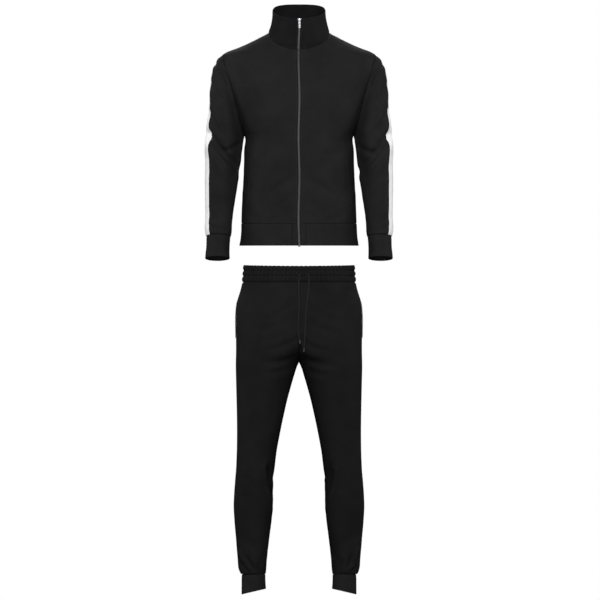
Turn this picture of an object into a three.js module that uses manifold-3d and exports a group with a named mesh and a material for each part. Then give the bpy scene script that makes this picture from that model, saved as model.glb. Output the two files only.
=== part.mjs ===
// A two-piece tracksuit, filled out as it is worn: a zip jacket with a stand collar and a pale stripe down each
// sleeve, and trousers with a gathered waistband, a drawcord and ribbed ankles.
// Millimetres. X runs to the wearer's left, Y to the back and Z up. The origin is level with the high points of the
// shoulders, midway between them. Each piece of cloth is a wall through rings of the figure that wears it.
import * as THREE from 'three';
import { mergeVertices } from 'three/addons/utils/BufferGeometryUtils.js';
import Module from 'manifold-3d';

// Cloth and seams
const KNIT = 1.8; // the double knit of the body
const RIB = 2.4; // the doubled bands of hem, cuffs and ankles
const COLLAR_CLOTH = 3; // the collar is turned over on itself
const SEAM = 0.3; // what parts two pieces that are sewn together

// Jacket
const NECK = { half: 97, front: -42, side: 14, back: 22 }; // half width, and heights round the neck seam
const COLLAR = { half: 85, front: -80, back: 68, frontTop: 56.2, backTop: 101.2, roundFront: 1.9, roundBack: 3 };
const ARMHOLE = { topX: 246, topZ: -61, lowX: 173.3, lowZ: -314.5, front: 66, back: 72 };
const HEM = { seam: -600, end: -671, tab: 22 }; // the front edge runs down to the hem as a tab, out to x = 22
const STRIPE = 50; // width of the stripe of pale cloth
const CUFF_SEAM = 15; // the ring of the sleeve where the cuff is sewn on
const WELT = { wide: 9, thick: 1.4, top: -388, low: -540, topX: 150, lowX: 166 };

// Zip
const ZIP = { slot: 4, chain: 2.9, chainThick: 1.5, tapeThick: 1, sunk: 0.7, top: 55, low: -668 };
const SLIDER = { z: 49, wide: 10, tall: 12.5, thick: 1.7, arch: 2.6, bar: 1.2, rise: 2, hollow: 5.2 };
const TAB = { long: 23, wide: 9, neck: 5.4, thick: 1.2, hole: 1.6, window: 3.7, windowLow: 5.2 };

// Trousers
const WAIST = { top: -733, seam: -787, gathers: 76, gatherDeep: 1.5, lobes: 3, lobeDeep: 1.7, dip: 2.5 };
const CROTCH = -1043;
const ANKLE = { seam: -1722, end: -1787, rise: 9 };
const POCKET = { top: -791, low: -966, from: 0.09, wide: 9, thick: 1.3 };
const CORD = { width: 6.4, sides: 8, steps: 14, tip: 7.2, tipLong: 14 };

const GREY = { jacket: 0x232325, rib: 0x252527, trousers: 0x1d1d20, stripe: 0xdcdce0, coil: 0x5a5a5d,
  tape: 0x1a1a1c, metal: 0xb9b9bc, cord: 0x2b2b2d, tip: 0x37373a };

// A table has a name for each column and one row for each level.
function table(columns, rows) {
  return rows.map((row) => Object.fromEntries(columns.map((name, i) => [name, row[i]])));
}

// The body of the jacket: half width at the side seam or the shoulder line, the y of the middle of the front and of
// the back, the y of the side seam or shoulder line, and how square the ring is.
const BODY = table(['z', 'side', 'front', 'back', 'ridge', 'square'], [
  [22, 97, -54, 76, 10, 2.1],
  [14, 97, -60, 81, 10, 2.1],
  [10, 102, -63, 84, 10, 2.1],
  [4, 112, -66, 87, 9.5, 2.1],
  [-6, 132, -70, 92, 9, 2.1],
  [-16, 150, -74, 96, 8, 2.1],
  [-35, 189, -82, 102, 6, 2.1],
  [-54, 237, -89, 107, 4.5, 2.1],
  [-61, 245.6, -92, 108, 4, 2.15],
  [-100, 235, -105, 113, 3.4, 2.2],
  [-150, 220, -117, 117, 2.6, 2.3],
  [-200, 206, -126, 118, 1.8, 2.35],
  [-250, 192, -131, 117, 1, 2.4],
  [-314.5, 173.3, -132, 113, 0, 2.4],
  [-360, 175, -130, 110, 0, 2.4],
  [-410, 176.3, -127, 108, 0, 2.4],
  [-461, 178.4, -124, 107, 0, 2.4],
  [-512, 181.1, -122, 108, 0, 2.4],
  [-563, 183.5, -121, 110, 0, 2.4],
  [-600, 184.8, -120, 111, 0, 2.4],
  [-640, 186.6, -118, 110, 0, 2.4],
  [-671, 191, -117, 109, 0, 2.4],
]);

// The left sleeve: each ring is an oval across from its outer point to its inner point, mid is the y of its middle,
// front and back are how far it reaches from there, and lift is how much higher its front is than its middle.
const SLEEVE = table(['ring', 'outX', 'outZ', 'inX', 'inZ', 'mid', 'front', 'back', 'lift'], [
  [0, 246, -61, 173.3, -314.5, 2, 66, 72, 0],
  [1, 259, -72, 174.4, -320, 1.5, 68, 71, 0],
  [2, 270, -91, 175.8, -326.5, 0.5, 69, 70, 0],
  [3, 278, -117, 177.2, -334, -0.5, 69, 69, 0],
  [4, 283, -150, 179, -345, -1.5, 68, 68, 0],
  [5, 286, -190, 181, -360, -2, 67, 66, 0],
  [6, 289, -235, 183.6, -380, -2, 65, 64, 0],
  [7, 294, -282, 186.6, -405, -2, 63, 62, 0],
  [8, 298, -330, 190.2, -433, -2, 61, 60, 0],
  [9, 300.3, -380, 194.2, -463, -2, 58, 57, 0],
  [10, 300.8, -430, 199, -495, -4, 55, 54, 1],
  [11, 300.8, -480, 204.2, -528, -8, 52, 51, 3],
  [12, 300.3, -530, 209.3, -562, -14, 48, 48, 5],
  [13, 299.8, -580, 213.8, -597, -21, 45, 45, 7],
  [14, 300.4, -622, 216, -628, -28, 42.5, 42.5, 8],
  [15, 298, -641, 217.5, -641, -31, 39, 39, 8],
]);
const CUFF = table(['ring', 'outX', 'outZ', 'inX', 'inZ', 'mid', 'front', 'back', 'lift'], [
  [0, 296, -641.3, 219.5, -641.3, -31, 37, 37, 8],
  [1, 297, -676, 221.5, -676, -36, 36, 36, 8],
  [2, 300.5, -712, 221.5, -712, -41, 37.5, 37.5, 8],
]);
// Where the stripe's front edge runs on the sleeve, as an angle in front of the outer line.
const STRIPE_LEAD = table(['ring', 'angle'], [
  [0, 0], [4, 0.14], [6, 0.3], [7, 0.5], [8, 0.66], [12, 0.72], [15, 0.78],
]);

// The left half of the trousers. Above the crotch the ring is cut off in the middle plane, x = 0; below it the ring
// is whole, from its outer x to its inner x.
const LEG = table(['z', 'outer', 'inner', 'front', 'back', 'mid', 'square'], [
  [-733, 175.5, -175.5, -97, 99, 0, 2.3],
  [-787, 180, -180, -100, 103, 0, 2.3],
  [-806, 184, -177, -104, 109, 0, 2.3],
  [-830, 191, -170, -109, 117, 0, 2.3],
  [-855, 199, -160, -113, 124, 0, 2.3],
  [-900, 203, -130, -117, 132, 0, 2.3],
  [-950, 202.5, -95, -118, 134, 0, 2.3],
  [-1000, 202, -45, -114, 127, 0, 2.3],
  [-1025, 202.4, -18, -110, 120, 0, 2.25],
  [CROTCH, 202.9, -0.3, -107, 115, 0, 2.2],
  [-1069, 202.7, 9.8, -103, 107, 0, 2.15],
  [-1160, 200.3, 36, -93, 92, -1, 2.1],
  [-1250, 199, 56, -84, 81, -2, 2.1],
  [-1330, 199.8, 71, -77, 74, -2, 2.1],
  [-1400, 202.5, 79.3, -71, 71, 0, 2.1],
  [-1440, 206, 81, -67, 72, 4, 2.1],
  [-1500, 209.8, 83, -59, 76, 9, 2.1],
  [-1560, 206.6, 88, -52, 74, 11, 2.1],
  [-1620, 200.8, 96.2, -45, 67, 11, 2.1],
  [-1680, 196, 102.5, -38, 58, 10, 2.1],
  [-1712, 190.5, 105.3, -34, 51, 9, 2.1],
  [-1722, 186.5, 106.8, -32, 49, 8, 2.1],
  [-1730, 183.2, 107.3, -30.5, 47.5, 8, 2.1],
  [-1787, 184, 105.5, -31, 48, 8, 2.1],
]);

// The largest folds, from one place to another as seen from the front: how high each stands, less than nothing for a
// trough, and half its width. The back has like ones, a little lower down.
const FOLD_COLUMNS = ['x1', 'z1', 'x2', 'z2', 'high', 'wide'];
const SLEEVE_FOLDS = table(FOLD_COLUMNS, [
  [286, -318, 196, -424, -7, 13],
  [296, -345, 214, -436, 4, 14],
  [278, -240, 250, -310, -2.5, 12],
  [236, -250, 206, -330, 2, 16],
  [274, -176, 250, -214, -2, 12],
  [222, -140, 206, -235, -2.5, 12],
  [292, -600, 226, -612, 1.6, 12],
]);
const BODY_FOLDS = table(FOLD_COLUMNS, [
  [14, -462, 92, -506, -2.2, 16],
  [20, -520, 96, -562, 1.6, 16],
  [168, -330, 112, -372, -2.4, 15],
  [30, -60, 105, -92, -2.2, 18],
  [172, -560, 150, -598, -1.8, 13],
]);
const LEG_FOLDS = table(FOLD_COLUMNS, [
  [10, -1012, 96, -958, -2.6, 17],
  [16, -1046, 130, -1030, -2.6, 16],
  [84, -1382, 118, -1500, -3, 14],
  [100, -1360, 176, -1392, 2.4, 16],
  [98, -1440, 170, -1470, -2.6, 15],
  [112, -1650, 170, -1668, -2.4, 13],
  [186, -1694, 126, -1704, 2, 10],
  [150, -830, 168, -880, -1.8, 12],
]);
const LOWER_AT_BACK = 26;

const wasm = await Module();
wasm.setup();
const suit = new THREE.Group();

// Every column of a table at a place along its first one, on smooth curves through its rows.
function level(rows, at) {
  const names = Object.keys(rows[0]);
  const key = names[0];
  const last = rows.length - 1;
  const falling = rows[last][key] < rows[0][key];
  let i = 0;
  while (i < last - 1 && (falling ? at < rows[i + 1][key] : at > rows[i + 1][key])) i += 1;
  const span = rows[i + 1][key] - rows[i][key];
  const t = (at - rows[i][key]) / span;
  const slope = (j, name) => {
    const a = rows[Math.max(j - 1, 0)];
    const b = rows[Math.min(j + 1, last)];
    return (span * (b[name] - a[name])) / (b[key] - a[key]);
  };
  const found = {};
  for (const name of names) {
    const a = rows[i][name];
    const b = rows[i + 1][name];
    const from = slope(i, name);
    const to = slope(i + 1, name);
    found[name] = a + t * from + t * t * (3 * (b - a) - 2 * from - to) + t * t * t * (2 * (a - b) + from + to);
  }
  return found;
}

const mix = (a, b, t) => a + (b - a) * t;
const clamp01 = (t) => Math.min(1, Math.max(0, t));
const ease = (t) => clamp01(t) ** 2 * (3 - 2 * clamp01(t));
const spread = (from, to, steps) => Array.from({ length: steps + 1 }, (_, i) => mix(from, to, i / steps));

// A rounded square's point over its angle: across and deep are 1 on a circle's own four points.
function oval(angle, square) {
  const c = Math.cos(angle);
  const s = Math.sin(angle);
  const grow = (Math.abs(c) ** square + Math.abs(s) ** square) ** (-1 / square);
  return { across: c * grow, deep: s * grow };
}

// The angle at which such an oval is q of its half width from the middle, from 0 to half a turn.
function angleAcross(q, square) {
  const kept = Math.min(1, Math.abs(q));
  return Math.atan2((1 - kept ** square) ** (1 / square), q);
}

// The angle at which it is q of its depth from the middle.
function angleDeep(q, square) {
  const kept = clamp01(q);
  return Math.atan2(kept, (1 - kept ** square) ** (1 / square));
}

// How far the folds of a table lift the cloth at a place as seen from the front, where deep runs from -1 on the
// front to 1 on the back.
function folds(rows, x, deep, z) {
  const down = LOWER_AT_BACK * ease(0.5 + deep);
  let lift = 0;
  for (const { x1, z1, x2, z2, high, wide } of rows) {
    const run = new THREE.Vector2(x2 - x1, z2 - z1);
    const to = new THREE.Vector2(Math.abs(x) - x1, z + down - z1);
    const along = clamp01(to.dot(run) / run.lengthSq());
    const off = to.addScaledVector(run, -along).length();
    lift += high * Math.exp(-((off / wide) ** 2)) * (0.35 + 0.65 * Math.sin(Math.PI * mix(0.15, 0.9, along)));
  }
  return lift;
}

// The direction out of a surface that is given over two numbers, the first running front, side, back and the second up.
function outward(at, s, v, step) {
  const across = at(s + 1e-3, v).sub(at(s - 1e-3, v));
  const up = at(s, v + step).sub(at(s, v - step));
  return across.cross(up).normalize();
}

// A wall of cloth: outer points in rows and columns, inner points one thickness further in, and a rim round both.
// Extra stands on the outer points alone, and the inside may have fewer points. A wall that goes all the way round has
// a rim at its top and its foot only.
function wall({ at, columns, rows, thick, extra, inColumns = columns, inRows = rows, round = false, inset = SEAM / 2 }) {
  const points = [];
  const faces = [];
  const step = (rows.at(-1) - rows[0]) * 1e-3;
  const lay = (ss, vs, depth) => vs.map((v) => {
    const line = ss.map((s) => at(s, v));
    const length = line.slice(1).reduce((sum, p, i) => sum + p.distanceTo(line[i]), 0);
    const edge = round ? 0 : inset / length;
    return ss.map((s) => {
      const place = mix(edge, 1 - edge, s);
      const out = outward(at, place, v, step);
      const high = depth ? -depth : extra ? extra(place, v) : 0;
      return points.push(at(place, v).addScaledVector(out, high)) - 1;
    });
  });
  const skin = (grid, flip) => grid.slice(1).forEach((upper, r) => {
    const lower = grid[r];
    const count = round ? lower.length : lower.length - 1;
    for (let c = 0; c < count; c += 1) {
      const d = (c + 1) % lower.length;
      const quad = [lower[c], lower[d], upper[d], upper[c]];
      if (flip) quad.reverse();
      faces.push(quad[0], quad[1], quad[2], quad[0], quad[2], quad[3]);
    }
  });
  const rim = (outer, outerAt, inner, innerAt) => {
    let i = 0;
    let j = 0;
    while (i < outer.length - 1 || j < inner.length - 1) {
      const next = i < outer.length - 1 ? outerAt[i + 1] : Infinity;
      if (j === inner.length - 1 || (i < outer.length - 1 && next <= innerAt[j + 1] + 1e-9)) {
        faces.push(outer[i + 1], outer[i], inner[j]);
        i += 1;
      } else {
        faces.push(outer[i], inner[j], inner[j + 1]);
        j += 1;
      }
    }
  };
  const border = (grid, ss, vs) => {
    const share = vs.map((v) => (v - vs[0]) / (vs.at(-1) - vs[0]));
    if (round) {
      const foot = { line: [...grid[0], grid[0][0]], at: [...ss, ss[0] + 1] };
      const top = { line: [...foot.line].map((_, i) => grid.at(-1)[(ss.length * 2 - i) % ss.length]),
        at: [...foot.at].reverse().map((s) => -s) };
      return [foot, top];
    }
    const reach = (list) => list.slice(0, -1);
    return [{
      line: [...reach(grid[0]), ...reach(grid.map((row) => row.at(-1))), ...reach([...grid.at(-1)].reverse()),
        ...grid.map((row) => row[0]).reverse()],
      at: [...reach(ss), ...reach(share.map((t) => 1 + t)), ...reach([...ss].reverse().map((s) => 3 - s)),
        ...[...share].reverse().map((t) => 4 - t)],
    }];
  };
  const outer = lay(columns, rows, 0);
  const inner = lay(inColumns, inRows, thick);
  skin(outer, false);
  skin(inner, true);
  const inBorder = border(inner, inColumns, inRows);
  border(outer, columns, rows).forEach((edge, i) => rim(edge.line, edge.at, inBorder[i].line, inBorder[i].at));
  return { points, faces };
}

// Adds a wall to the suit as a named piece, on the wearer's left or mirrored to the right.
function sew(name, colour, { points, faces }, side = 1) {
  const geometry = new THREE.BufferGeometry();
  const turned = side > 0 ? faces : [...faces].reverse();
  geometry.setAttribute('position', new THREE.Float32BufferAttribute(
    points.flatMap((p) => [p.x * side, p.y, p.z]), 3));
  geometry.setIndex(turned);
  geometry.computeVertexNormals();
  addPiece(name, colour, geometry, { roughness: 0.85, metalness: 0 });
}

function addPiece(name, colour, geometry, finish) {
  const piece = new THREE.Mesh(geometry, new THREE.MeshStandardMaterial({ color: colour, ...finish }));
  piece.name = name;
  suit.add(piece);
}

const SIDES = [['left', 1], ['right', -1]];

// The middle of the zip wanders a little from side to side down the front.
const wander = (z) => 1.6 * Math.sin(z / 41);

// Jacket body
const armholeX = (z) => mix(ARMHOLE.lowX, ARMHOLE.topX, (z - ARMHOLE.lowZ) / (ARMHOLE.topZ - ARMHOLE.lowZ)) - SEAM;
const inArmhole = (z) => z > ARMHOLE.lowZ && z < ARMHOLE.topZ;

function armholeDepth(z, face) {
  const half = (ARMHOLE.topZ - ARMHOLE.lowZ) / 2;
  const place = (z - ARMHOLE.lowZ) / half - 1;
  return ARMHOLE[face] * Math.sqrt(Math.max(0, 1 - place * place));
}

// The ring of the body at a height, on its front or its back. Beside the armhole its half width is the one that
// makes it pass through the armhole's edge.
function bodyRing(z, face) {
  const ring = level(BODY, z);
  const deep = face === 'front' ? ring.ridge - ring.front : ring.back - ring.ridge;
  if (!inArmhole(z)) return { ...ring, deep };
  const share = armholeDepth(z, face) / deep;
  return { ...ring, deep, side: armholeX(z) / (1 - share ** ring.square) ** (1 / ring.square) };
}

// The angle runs from minus a quarter turn at the middle of the front, past 0 at the left side, to a quarter turn at
// the middle of the back.
function bodyPoint(angle, z) {
  const ring = bodyRing(z, Math.sin(angle) < -1e-9 ? 'front' : 'back');
  const { across, deep } = oval(angle, ring.square);
  const point = new THREE.Vector3(ring.side * across, ring.ridge + ring.deep * deep, z);
  const calm = clamp01((NECK.front + 4 - z) / 24) * clamp01((Math.abs(point.x) - 6) / 14);
  const lift = folds(BODY_FOLDS, point.x, deep, z) * calm;
  const out = new THREE.Vector2(across / ring.side, deep / ring.deep).normalize();
  point.x += out.x * lift;
  point.y += out.y * lift;
  return point;
}

const bodyAngleAcross = (x, z, face) => {
  const ring = bodyRing(z, face);
  return (face === 'front' ? -1 : 1) * angleAcross(x / ring.side, ring.square);
};
const armholeAngle = (z, face) => {
  const ring = bodyRing(z, face);
  return angleDeep(armholeDepth(z, face) / ring.deep, ring.square);
};

// The neck seam as seen from the front or the back: its x at a height.
function neckX(z) {
  const fall = z < NECK.side ? (NECK.side - z) / (NECK.side - NECK.front) : (z - NECK.side) / (NECK.back - NECK.side);
  return NECK.half * Math.sqrt(Math.max(0, 1 - fall * fall));
}

// The stripe lies across the shoulder line: its front edge runs from well in front of it at the neck back to it at
// the armhole.
const stripeLead = (z) => 22 * ease((z - ARMHOLE.topZ) / 62);
const stripeFront = (z) => {
  const ring = bodyRing(z, 'front');
  return -angleDeep(stripeLead(z) / ring.deep, ring.square);
};
const stripeBack = (z) => {
  const ring = bodyRing(z, 'back');
  return angleDeep((STRIPE - stripeLead(z)) / ring.deep, ring.square);
};

function frontStart(z, x) {
  return bodyAngleAcross(Math.max(x, z > NECK.front ? neckX(z) : 0), z, 'front');
}
function frontEnd(z) {
  if (z <= ARMHOLE.lowZ) return 0;
  return inArmhole(z) ? -armholeAngle(z, 'front') : stripeFront(z);
}
function stripeStart(z) {
  if (z > NECK.side) return bodyAngleAcross(neckX(z), z, 'back');
  if (inArmhole(z)) return armholeAngle(z, 'back');
  return Math.max(stripeFront(z), bodyAngleAcross(neckX(z), z, 'front'));
}
function backStart(z) {
  if (z <= ARMHOLE.lowZ) return 0;
  const edges = [inArmhole(z) ? armholeAngle(z, 'back') : 0];
  if (z > (ARMHOLE.lowZ + ARMHOLE.topZ) / 2) edges.push(stripeBack(z));
  if (z > NECK.side) edges.push(bodyAngleAcross(neckX(z), z, 'back'));
  return Math.max(...edges);
}

const BODY_LEVELS = [-550, -500, -450, -405, -360, -335];
const ARM_LEVELS = [ARMHOLE.lowZ, -308, -295, -272, -240, -200, -155, -118, -92, -72, ARMHOLE.topZ];
const SHOULDER_LEVELS = [-51, -42, -40.5, -37, -31, -22, -12, -3, 5, 10];
const BACK_NECK_LEVELS = [14, 17, 20, 21.5];

function jacketBody() {
  const foot = HEM.seam + SEAM / 2;
  const frontRows = [foot, ...BODY_LEVELS, ...ARM_LEVELS, ...SHOULDER_LEVELS];
  for (const [name, side] of SIDES) {
    const edge = (z) => ZIP.slot + side * wander(z);
    sew(`jacket_front_${name}`, GREY.jacket, wall({
      at: (s, z) => bodyPoint(mix(frontStart(z, edge(z)), frontEnd(z), s), z),
      columns: spread(0, 1, 9), rows: frontRows, thick: KNIT,
    }), side);
    sew(`hem_tab_${name}`, GREY.jacket, wall({
      at: (s, z) => bodyPoint(bodyAngleAcross(mix(edge(z), HEM.tab, s), z, 'front'), z),
      columns: [0, 1], rows: spread(HEM.end, HEM.seam - SEAM / 2, 2), thick: RIB,
    }), side);
    sew(`shoulder_stripe_${name}`, GREY.stripe, wall({
      at: (s, z) => bodyPoint(mix(stripeStart(z), stripeBack(z), s), z),
      columns: spread(0, 1, 2), rows: [-92, -72, ARMHOLE.topZ, ...SHOULDER_LEVELS, 14], thick: KNIT,
    }), side);
  }
  sew('jacket_back', GREY.jacket, wall({
    at: (s, z) => bodyPoint(mix(backStart(z), Math.PI - backStart(z), s), z),
    columns: spread(0, 1, 14), rows: [...frontRows, ...BACK_NECK_LEVELS], thick: KNIT,
  }));
  const ends = (z) => bodyAngleAcross(HEM.tab, z, 'front');
  sew('hem_rib', GREY.rib, wall({
    at: (s, z) => bodyPoint(mix(ends(z), Math.PI - ends(z), s), z),
    columns: spread(0, 1, 36), rows: spread(HEM.end, HEM.seam - SEAM / 2, 3), thick: RIB,
    inRows: [HEM.end, HEM.seam - SEAM / 2],
  }));
}

// Collar: it rises from the neck seam to a rim that is higher at the back, and is open at the zip.
function neckPoint(turn) {
  const fore = Math.cos(turn);
  const z = fore > 0 ? mix(NECK.side, NECK.front, fore) : mix(NECK.side, NECK.back, -fore);
  const face = fore > 0 ? 'front' : 'back';
  const x = NECK.half * Math.sin(turn);
  return bodyPoint(bodyAngleAcross(x, z, face), z);
}

function rimPoint(turn) {
  const fore = Math.cos(turn) > 0;
  const middle = (COLLAR.front + COLLAR.back) / 2;
  const half = (COLLAR.back - COLLAR.front) / 2;
  const { across, deep } = oval(turn - Math.PI / 2, fore ? COLLAR.roundFront : COLLAR.roundBack);
  return new THREE.Vector3(COLLAR.half * across, middle + half * deep,
    mix(COLLAR.frontTop, COLLAR.backTop, (deep + 1) / 2));
}

const SEAM_RISE = 0.8; // the collar's foot clears the edges that it is sewn to

function collarPoint(turn, rise) {
  const foot = neckPoint(turn);
  const rim = rimPoint(turn);
  const spreadOut = (1 - rise) ** 2;
  return new THREE.Vector3(mix(rim.x, foot.x, spreadOut), mix(rim.y, foot.y, spreadOut),
    mix(foot.z + SEAM_RISE, rim.z, rise));
}

const COLLAR_RISES = [0, 0.1, 0.28, 0.52, 0.76, 1];
const collarZ = (rise) => mix(NECK.front + SEAM_RISE, COLLAR.frontTop, rise);

function collar() {
  const edge = (side, rise) => (ZIP.slot + side * wander(collarZ(rise))) / mix(COLLAR.half, NECK.half, (1 - rise) ** 2);
  sew('collar', GREY.jacket, wall({
    at: (s, rise) => collarPoint(mix(edge(1, rise), 2 * Math.PI - edge(-1, rise), s), rise),
    columns: spread(0, 1, 32), rows: COLLAR_RISES, thick: COLLAR_CLOTH, inRows: [0, 0.5, 1],
  }));
}

// Sleeves: the angle runs from minus half a turn under the arm, past a quarter turn less in front, to 0 on the
// outside and on over the back.
function sleevePoint(rings, angle, ring) {
  const r = level(rings, ring);
  const c = Math.cos(angle);
  const s = Math.sin(angle);
  const x = mix(r.inX, r.outX, (1 + c) / 2);
  const z = mix(r.inZ, r.outZ, (1 + c) / 2) - r.lift * s;
  const slant = rings === SLEEVE ? 2 * c * clamp01(1 - ring) : 0;
  const point = new THREE.Vector3(x, r.mid + slant + s * (s < 0 ? r.front : r.back), z);
  if (rings === SLEEVE) {
    const lift = folds(SLEEVE_FOLDS, x, s, z) * clamp01(ring / 1.5) * clamp01((CUFF_SEAM - ring) * 2);
    point.x += c * lift;
    point.y += s * lift;
  }
  return point;
}

const stripeAngle = (ring) => -level(STRIPE_LEAD, ring).angle;
const stripeEnd = (ring) => {
  const r = level(SLEEVE, ring);
  const girth = Math.hypot(r.outX - r.inX, r.outZ - r.inZ) / 2;
  const usual = stripeAngle(ring) + STRIPE / mix(r.back, girth, 0.35);
  const first = Math.asin(STRIPE / ARMHOLE.back);
  return mix(first, usual, ease(ring / 2));
};

function sleeves() {
  const gap = (2 * SEAM) / 25; // a ring is about 25 mm from the next
  const rows = [-CUFF_SEAM, -14.5, -14, -13, -12, -11, -10, -9.4, -8.8, -8.2, -7.6, -7, -6.2, -5.2, -4, -3, -2, -1, -gap];
  const pieces = [
    ['sleeve_front', GREY.jacket, () => -Math.PI, stripeAngle, 7],
    ['sleeve_stripe', GREY.stripe, stripeAngle, stripeEnd, 3],
    ['sleeve_back', GREY.jacket, stripeEnd, () => Math.PI, 7],
  ];
  for (const [name, side] of SIDES) {
    for (const [piece, colour, from, to, columns] of pieces) {
      sew(`${piece}_${name}`, colour, wall({
        at: (s, up) => sleevePoint(SLEEVE, mix(from(-up), to(-up), s), -up),
        columns: spread(0, 1, columns), rows, thick: KNIT,
      }), side);
    }
    sew(`cuff_${name}`, GREY.rib, wall({
      at: (s, up) => sleevePoint(CUFF, -Math.PI + s * 2 * Math.PI, -up),
      columns: spread(0, 1, 20).slice(0, -1), rows: [-2, -1, -0.2, 0], thick: RIB, inRows: [-2, 0], round: true,
    }), side);
  }
}

// Side pockets of the jacket: a narrow welt stands on each front, near the side.
function jacketPockets() {
  for (const [name, side] of SIDES) {
    sew(`pocket_welt_${name}`, GREY.jacket, wall({
      at: (s, z) => {
        const down = (WELT.top - z) / (WELT.top - WELT.low);
        const x = mix(WELT.topX, WELT.lowX, down) + (s - 0.5) * WELT.wide * 0.7;
        const place = (across, height) => bodyPoint(bodyAngleAcross(across, height, 'front'), height);
        const out = place(x, z).sub(place(x - 0.5, z)).cross(new THREE.Vector3(0, 0, 1)).normalize();
        return place(x, z).addScaledVector(out, WELT.thick + SEAM);
      },
      columns: spread(0, 1, 2), rows: spread(WELT.low, WELT.top, 6), thick: WELT.thick,
    }), side);
  }
}

// Zip: the y of the outer face of the cloth in the middle of the front, up through the collar.
function frontY(z) {
  if (z <= NECK.front) return level(BODY, z).front;
  const foot = level(BODY, NECK.front).front;
  const rise = clamp01((z - NECK.front) / (COLLAR.frontTop - NECK.front));
  return mix(COLLAR.front, foot, (1 - rise) ** 2);
}

function zip() {
  const rows = [ZIP.low, (HEM.end + HEM.seam) / 2, HEM.seam, ...BODY_LEVELS, ...ARM_LEVELS, SHOULDER_LEVELS[0],
    ...COLLAR_RISES.map((rise) => collarZ(rise)).slice(0, -1), ZIP.top];
  const strip = (from, to, sunk, thick, side) => wall({
    at: (s, z) => new THREE.Vector3(side * wander(z) + mix(from, to, s), frontY(z) + sunk, z),
    columns: [0, 1], rows, thick, inset: 0,
  });
  for (const [name, side] of SIDES) {
    sew(`zip_tape_${name}`, GREY.tape, strip(SEAM / 2, ZIP.slot - SEAM, ZIP.sunk, ZIP.tapeThick, side), side);
    sew(`zip_chain_${name}`, GREY.coil,
      strip(SEAM / 2, ZIP.chain, ZIP.sunk - SEAM - ZIP.chainThick, ZIP.chainThick, side), side);
  }
  const y = frontY(ZIP.low - 3) + ZIP.sunk + ZIP.tapeThick;
  const box = new THREE.BoxGeometry(2 * ZIP.slot - 4 * SEAM, ZIP.tapeThick + ZIP.chainThick + SEAM, 6);
  box.translate(wander(ZIP.low), y - (ZIP.tapeThick + ZIP.chainThick + SEAM) / 2, ZIP.low - 3 - SEAM);
  addPiece('zip_box', GREY.coil, box, { roughness: 0.4, metalness: 0.6 });
}

function solid(geometry) {
  geometry.deleteAttribute('normal');
  geometry.deleteAttribute('uv');
  const merged = mergeVertices(geometry, 1e-4);
  return new wasm.Manifold(new wasm.Mesh({ numProp: 3, vertProperties: merged.attributes.position.array,
    triVerts: new Uint32Array(merged.index.array) }));
}

function geometryOf(made) {
  const mesh = made.getMesh();
  const geometry = new THREE.BufferGeometry();
  geometry.setAttribute('position', new THREE.BufferAttribute(mesh.vertProperties, 3));
  geometry.setIndex(new THREE.BufferAttribute(mesh.triVerts, 1));
  geometry.computeVertexNormals();
  return geometry;
}

// A flat plate that faces the front: its outline in x and z, and its front and thickness in y.
function plate(shape, front, thick) {
  const geometry = new THREE.ExtrudeGeometry(shape, { depth: thick, bevelEnabled: false, curveSegments: 5 });
  return geometry.rotateX(Math.PI / 2).translate(0, front + thick, 0);
}

function roundedEnds(wideTop, wideLow, top, low) {
  const shape = new THREE.Shape();
  shape.moveTo(-wideTop / 2, top);
  shape.lineTo(-wideLow / 2, low + wideLow / 2);
  shape.absarc(0, low + wideLow / 2, wideLow / 2, Math.PI, 2 * Math.PI, false);
  shape.lineTo(wideTop / 2, top);
  shape.closePath();
  return shape;
}

// The slider is a plate over the chain with an arch on it, and the pull tab hangs by its top bar under the arch.
function slider() {
  const face = frontY(SLIDER.z) + ZIP.sunk - SEAM - ZIP.chainThick - SEAM;
  const back = face - SLIDER.thick;
  const top = SLIDER.tall / 2;
  const outline = roundedEnds(SLIDER.wide, SLIDER.wide * 0.62, top, -top);
  const place = (geometry) => geometry.translate(wander(SLIDER.z), 0, SLIDER.z);
  const body = solid(place(plate(outline, back, SLIDER.thick)));
  const reach = SLIDER.rise + SLIDER.bar;
  const arch = new THREE.BoxGeometry(SLIDER.arch, reach + 0.2, SLIDER.hollow + 2 * SLIDER.bar);
  const hollow = new THREE.BoxGeometry(SLIDER.arch + 2, SLIDER.rise, SLIDER.hollow);
  const bridge = solid(place(arch.translate(0, back + 0.1 - reach / 2, 0)))
    .subtract(solid(place(hollow.translate(0, back - SLIDER.rise / 2, 0))));
  addPiece('zip_slider', GREY.metal, geometryOf(body.add(bridge)), { roughness: 0.3, metalness: 1 });

  const pin = back - SLIDER.rise / 2;
  const tab = roundedEnds(TAB.neck, TAB.wide, TAB.thick / 2, -TAB.long);
  const window = new THREE.Path();
  window.moveTo(-TAB.window / 2, -TAB.thick / 2);
  window.lineTo(-TAB.window / 2, -TAB.windowLow);
  window.lineTo(TAB.window / 2, -TAB.windowLow);
  window.lineTo(TAB.window / 2, -TAB.thick / 2);
  window.closePath();
  const hole = new THREE.Path();
  hole.absarc(0, -TAB.long + TAB.wide / 2, TAB.hole, 0, 2 * Math.PI, true);
  tab.holes.push(window, hole);
  const hanging = plate(tab, pin - TAB.thick / 2, TAB.thick);
  addPiece('zip_pull_tab', GREY.metal, place(hanging), { roughness: 0.3, metalness: 1 });
}

// Trousers: the angle runs as on the body, but reaches past the middle of the front and back where a leg goes round.
function legRing(z) {
  const ring = level(LEG, z);
  return { ...ring, middle: (ring.outer + ring.inner) / 2, half: (ring.outer - ring.inner) / 2 };
}

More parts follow.
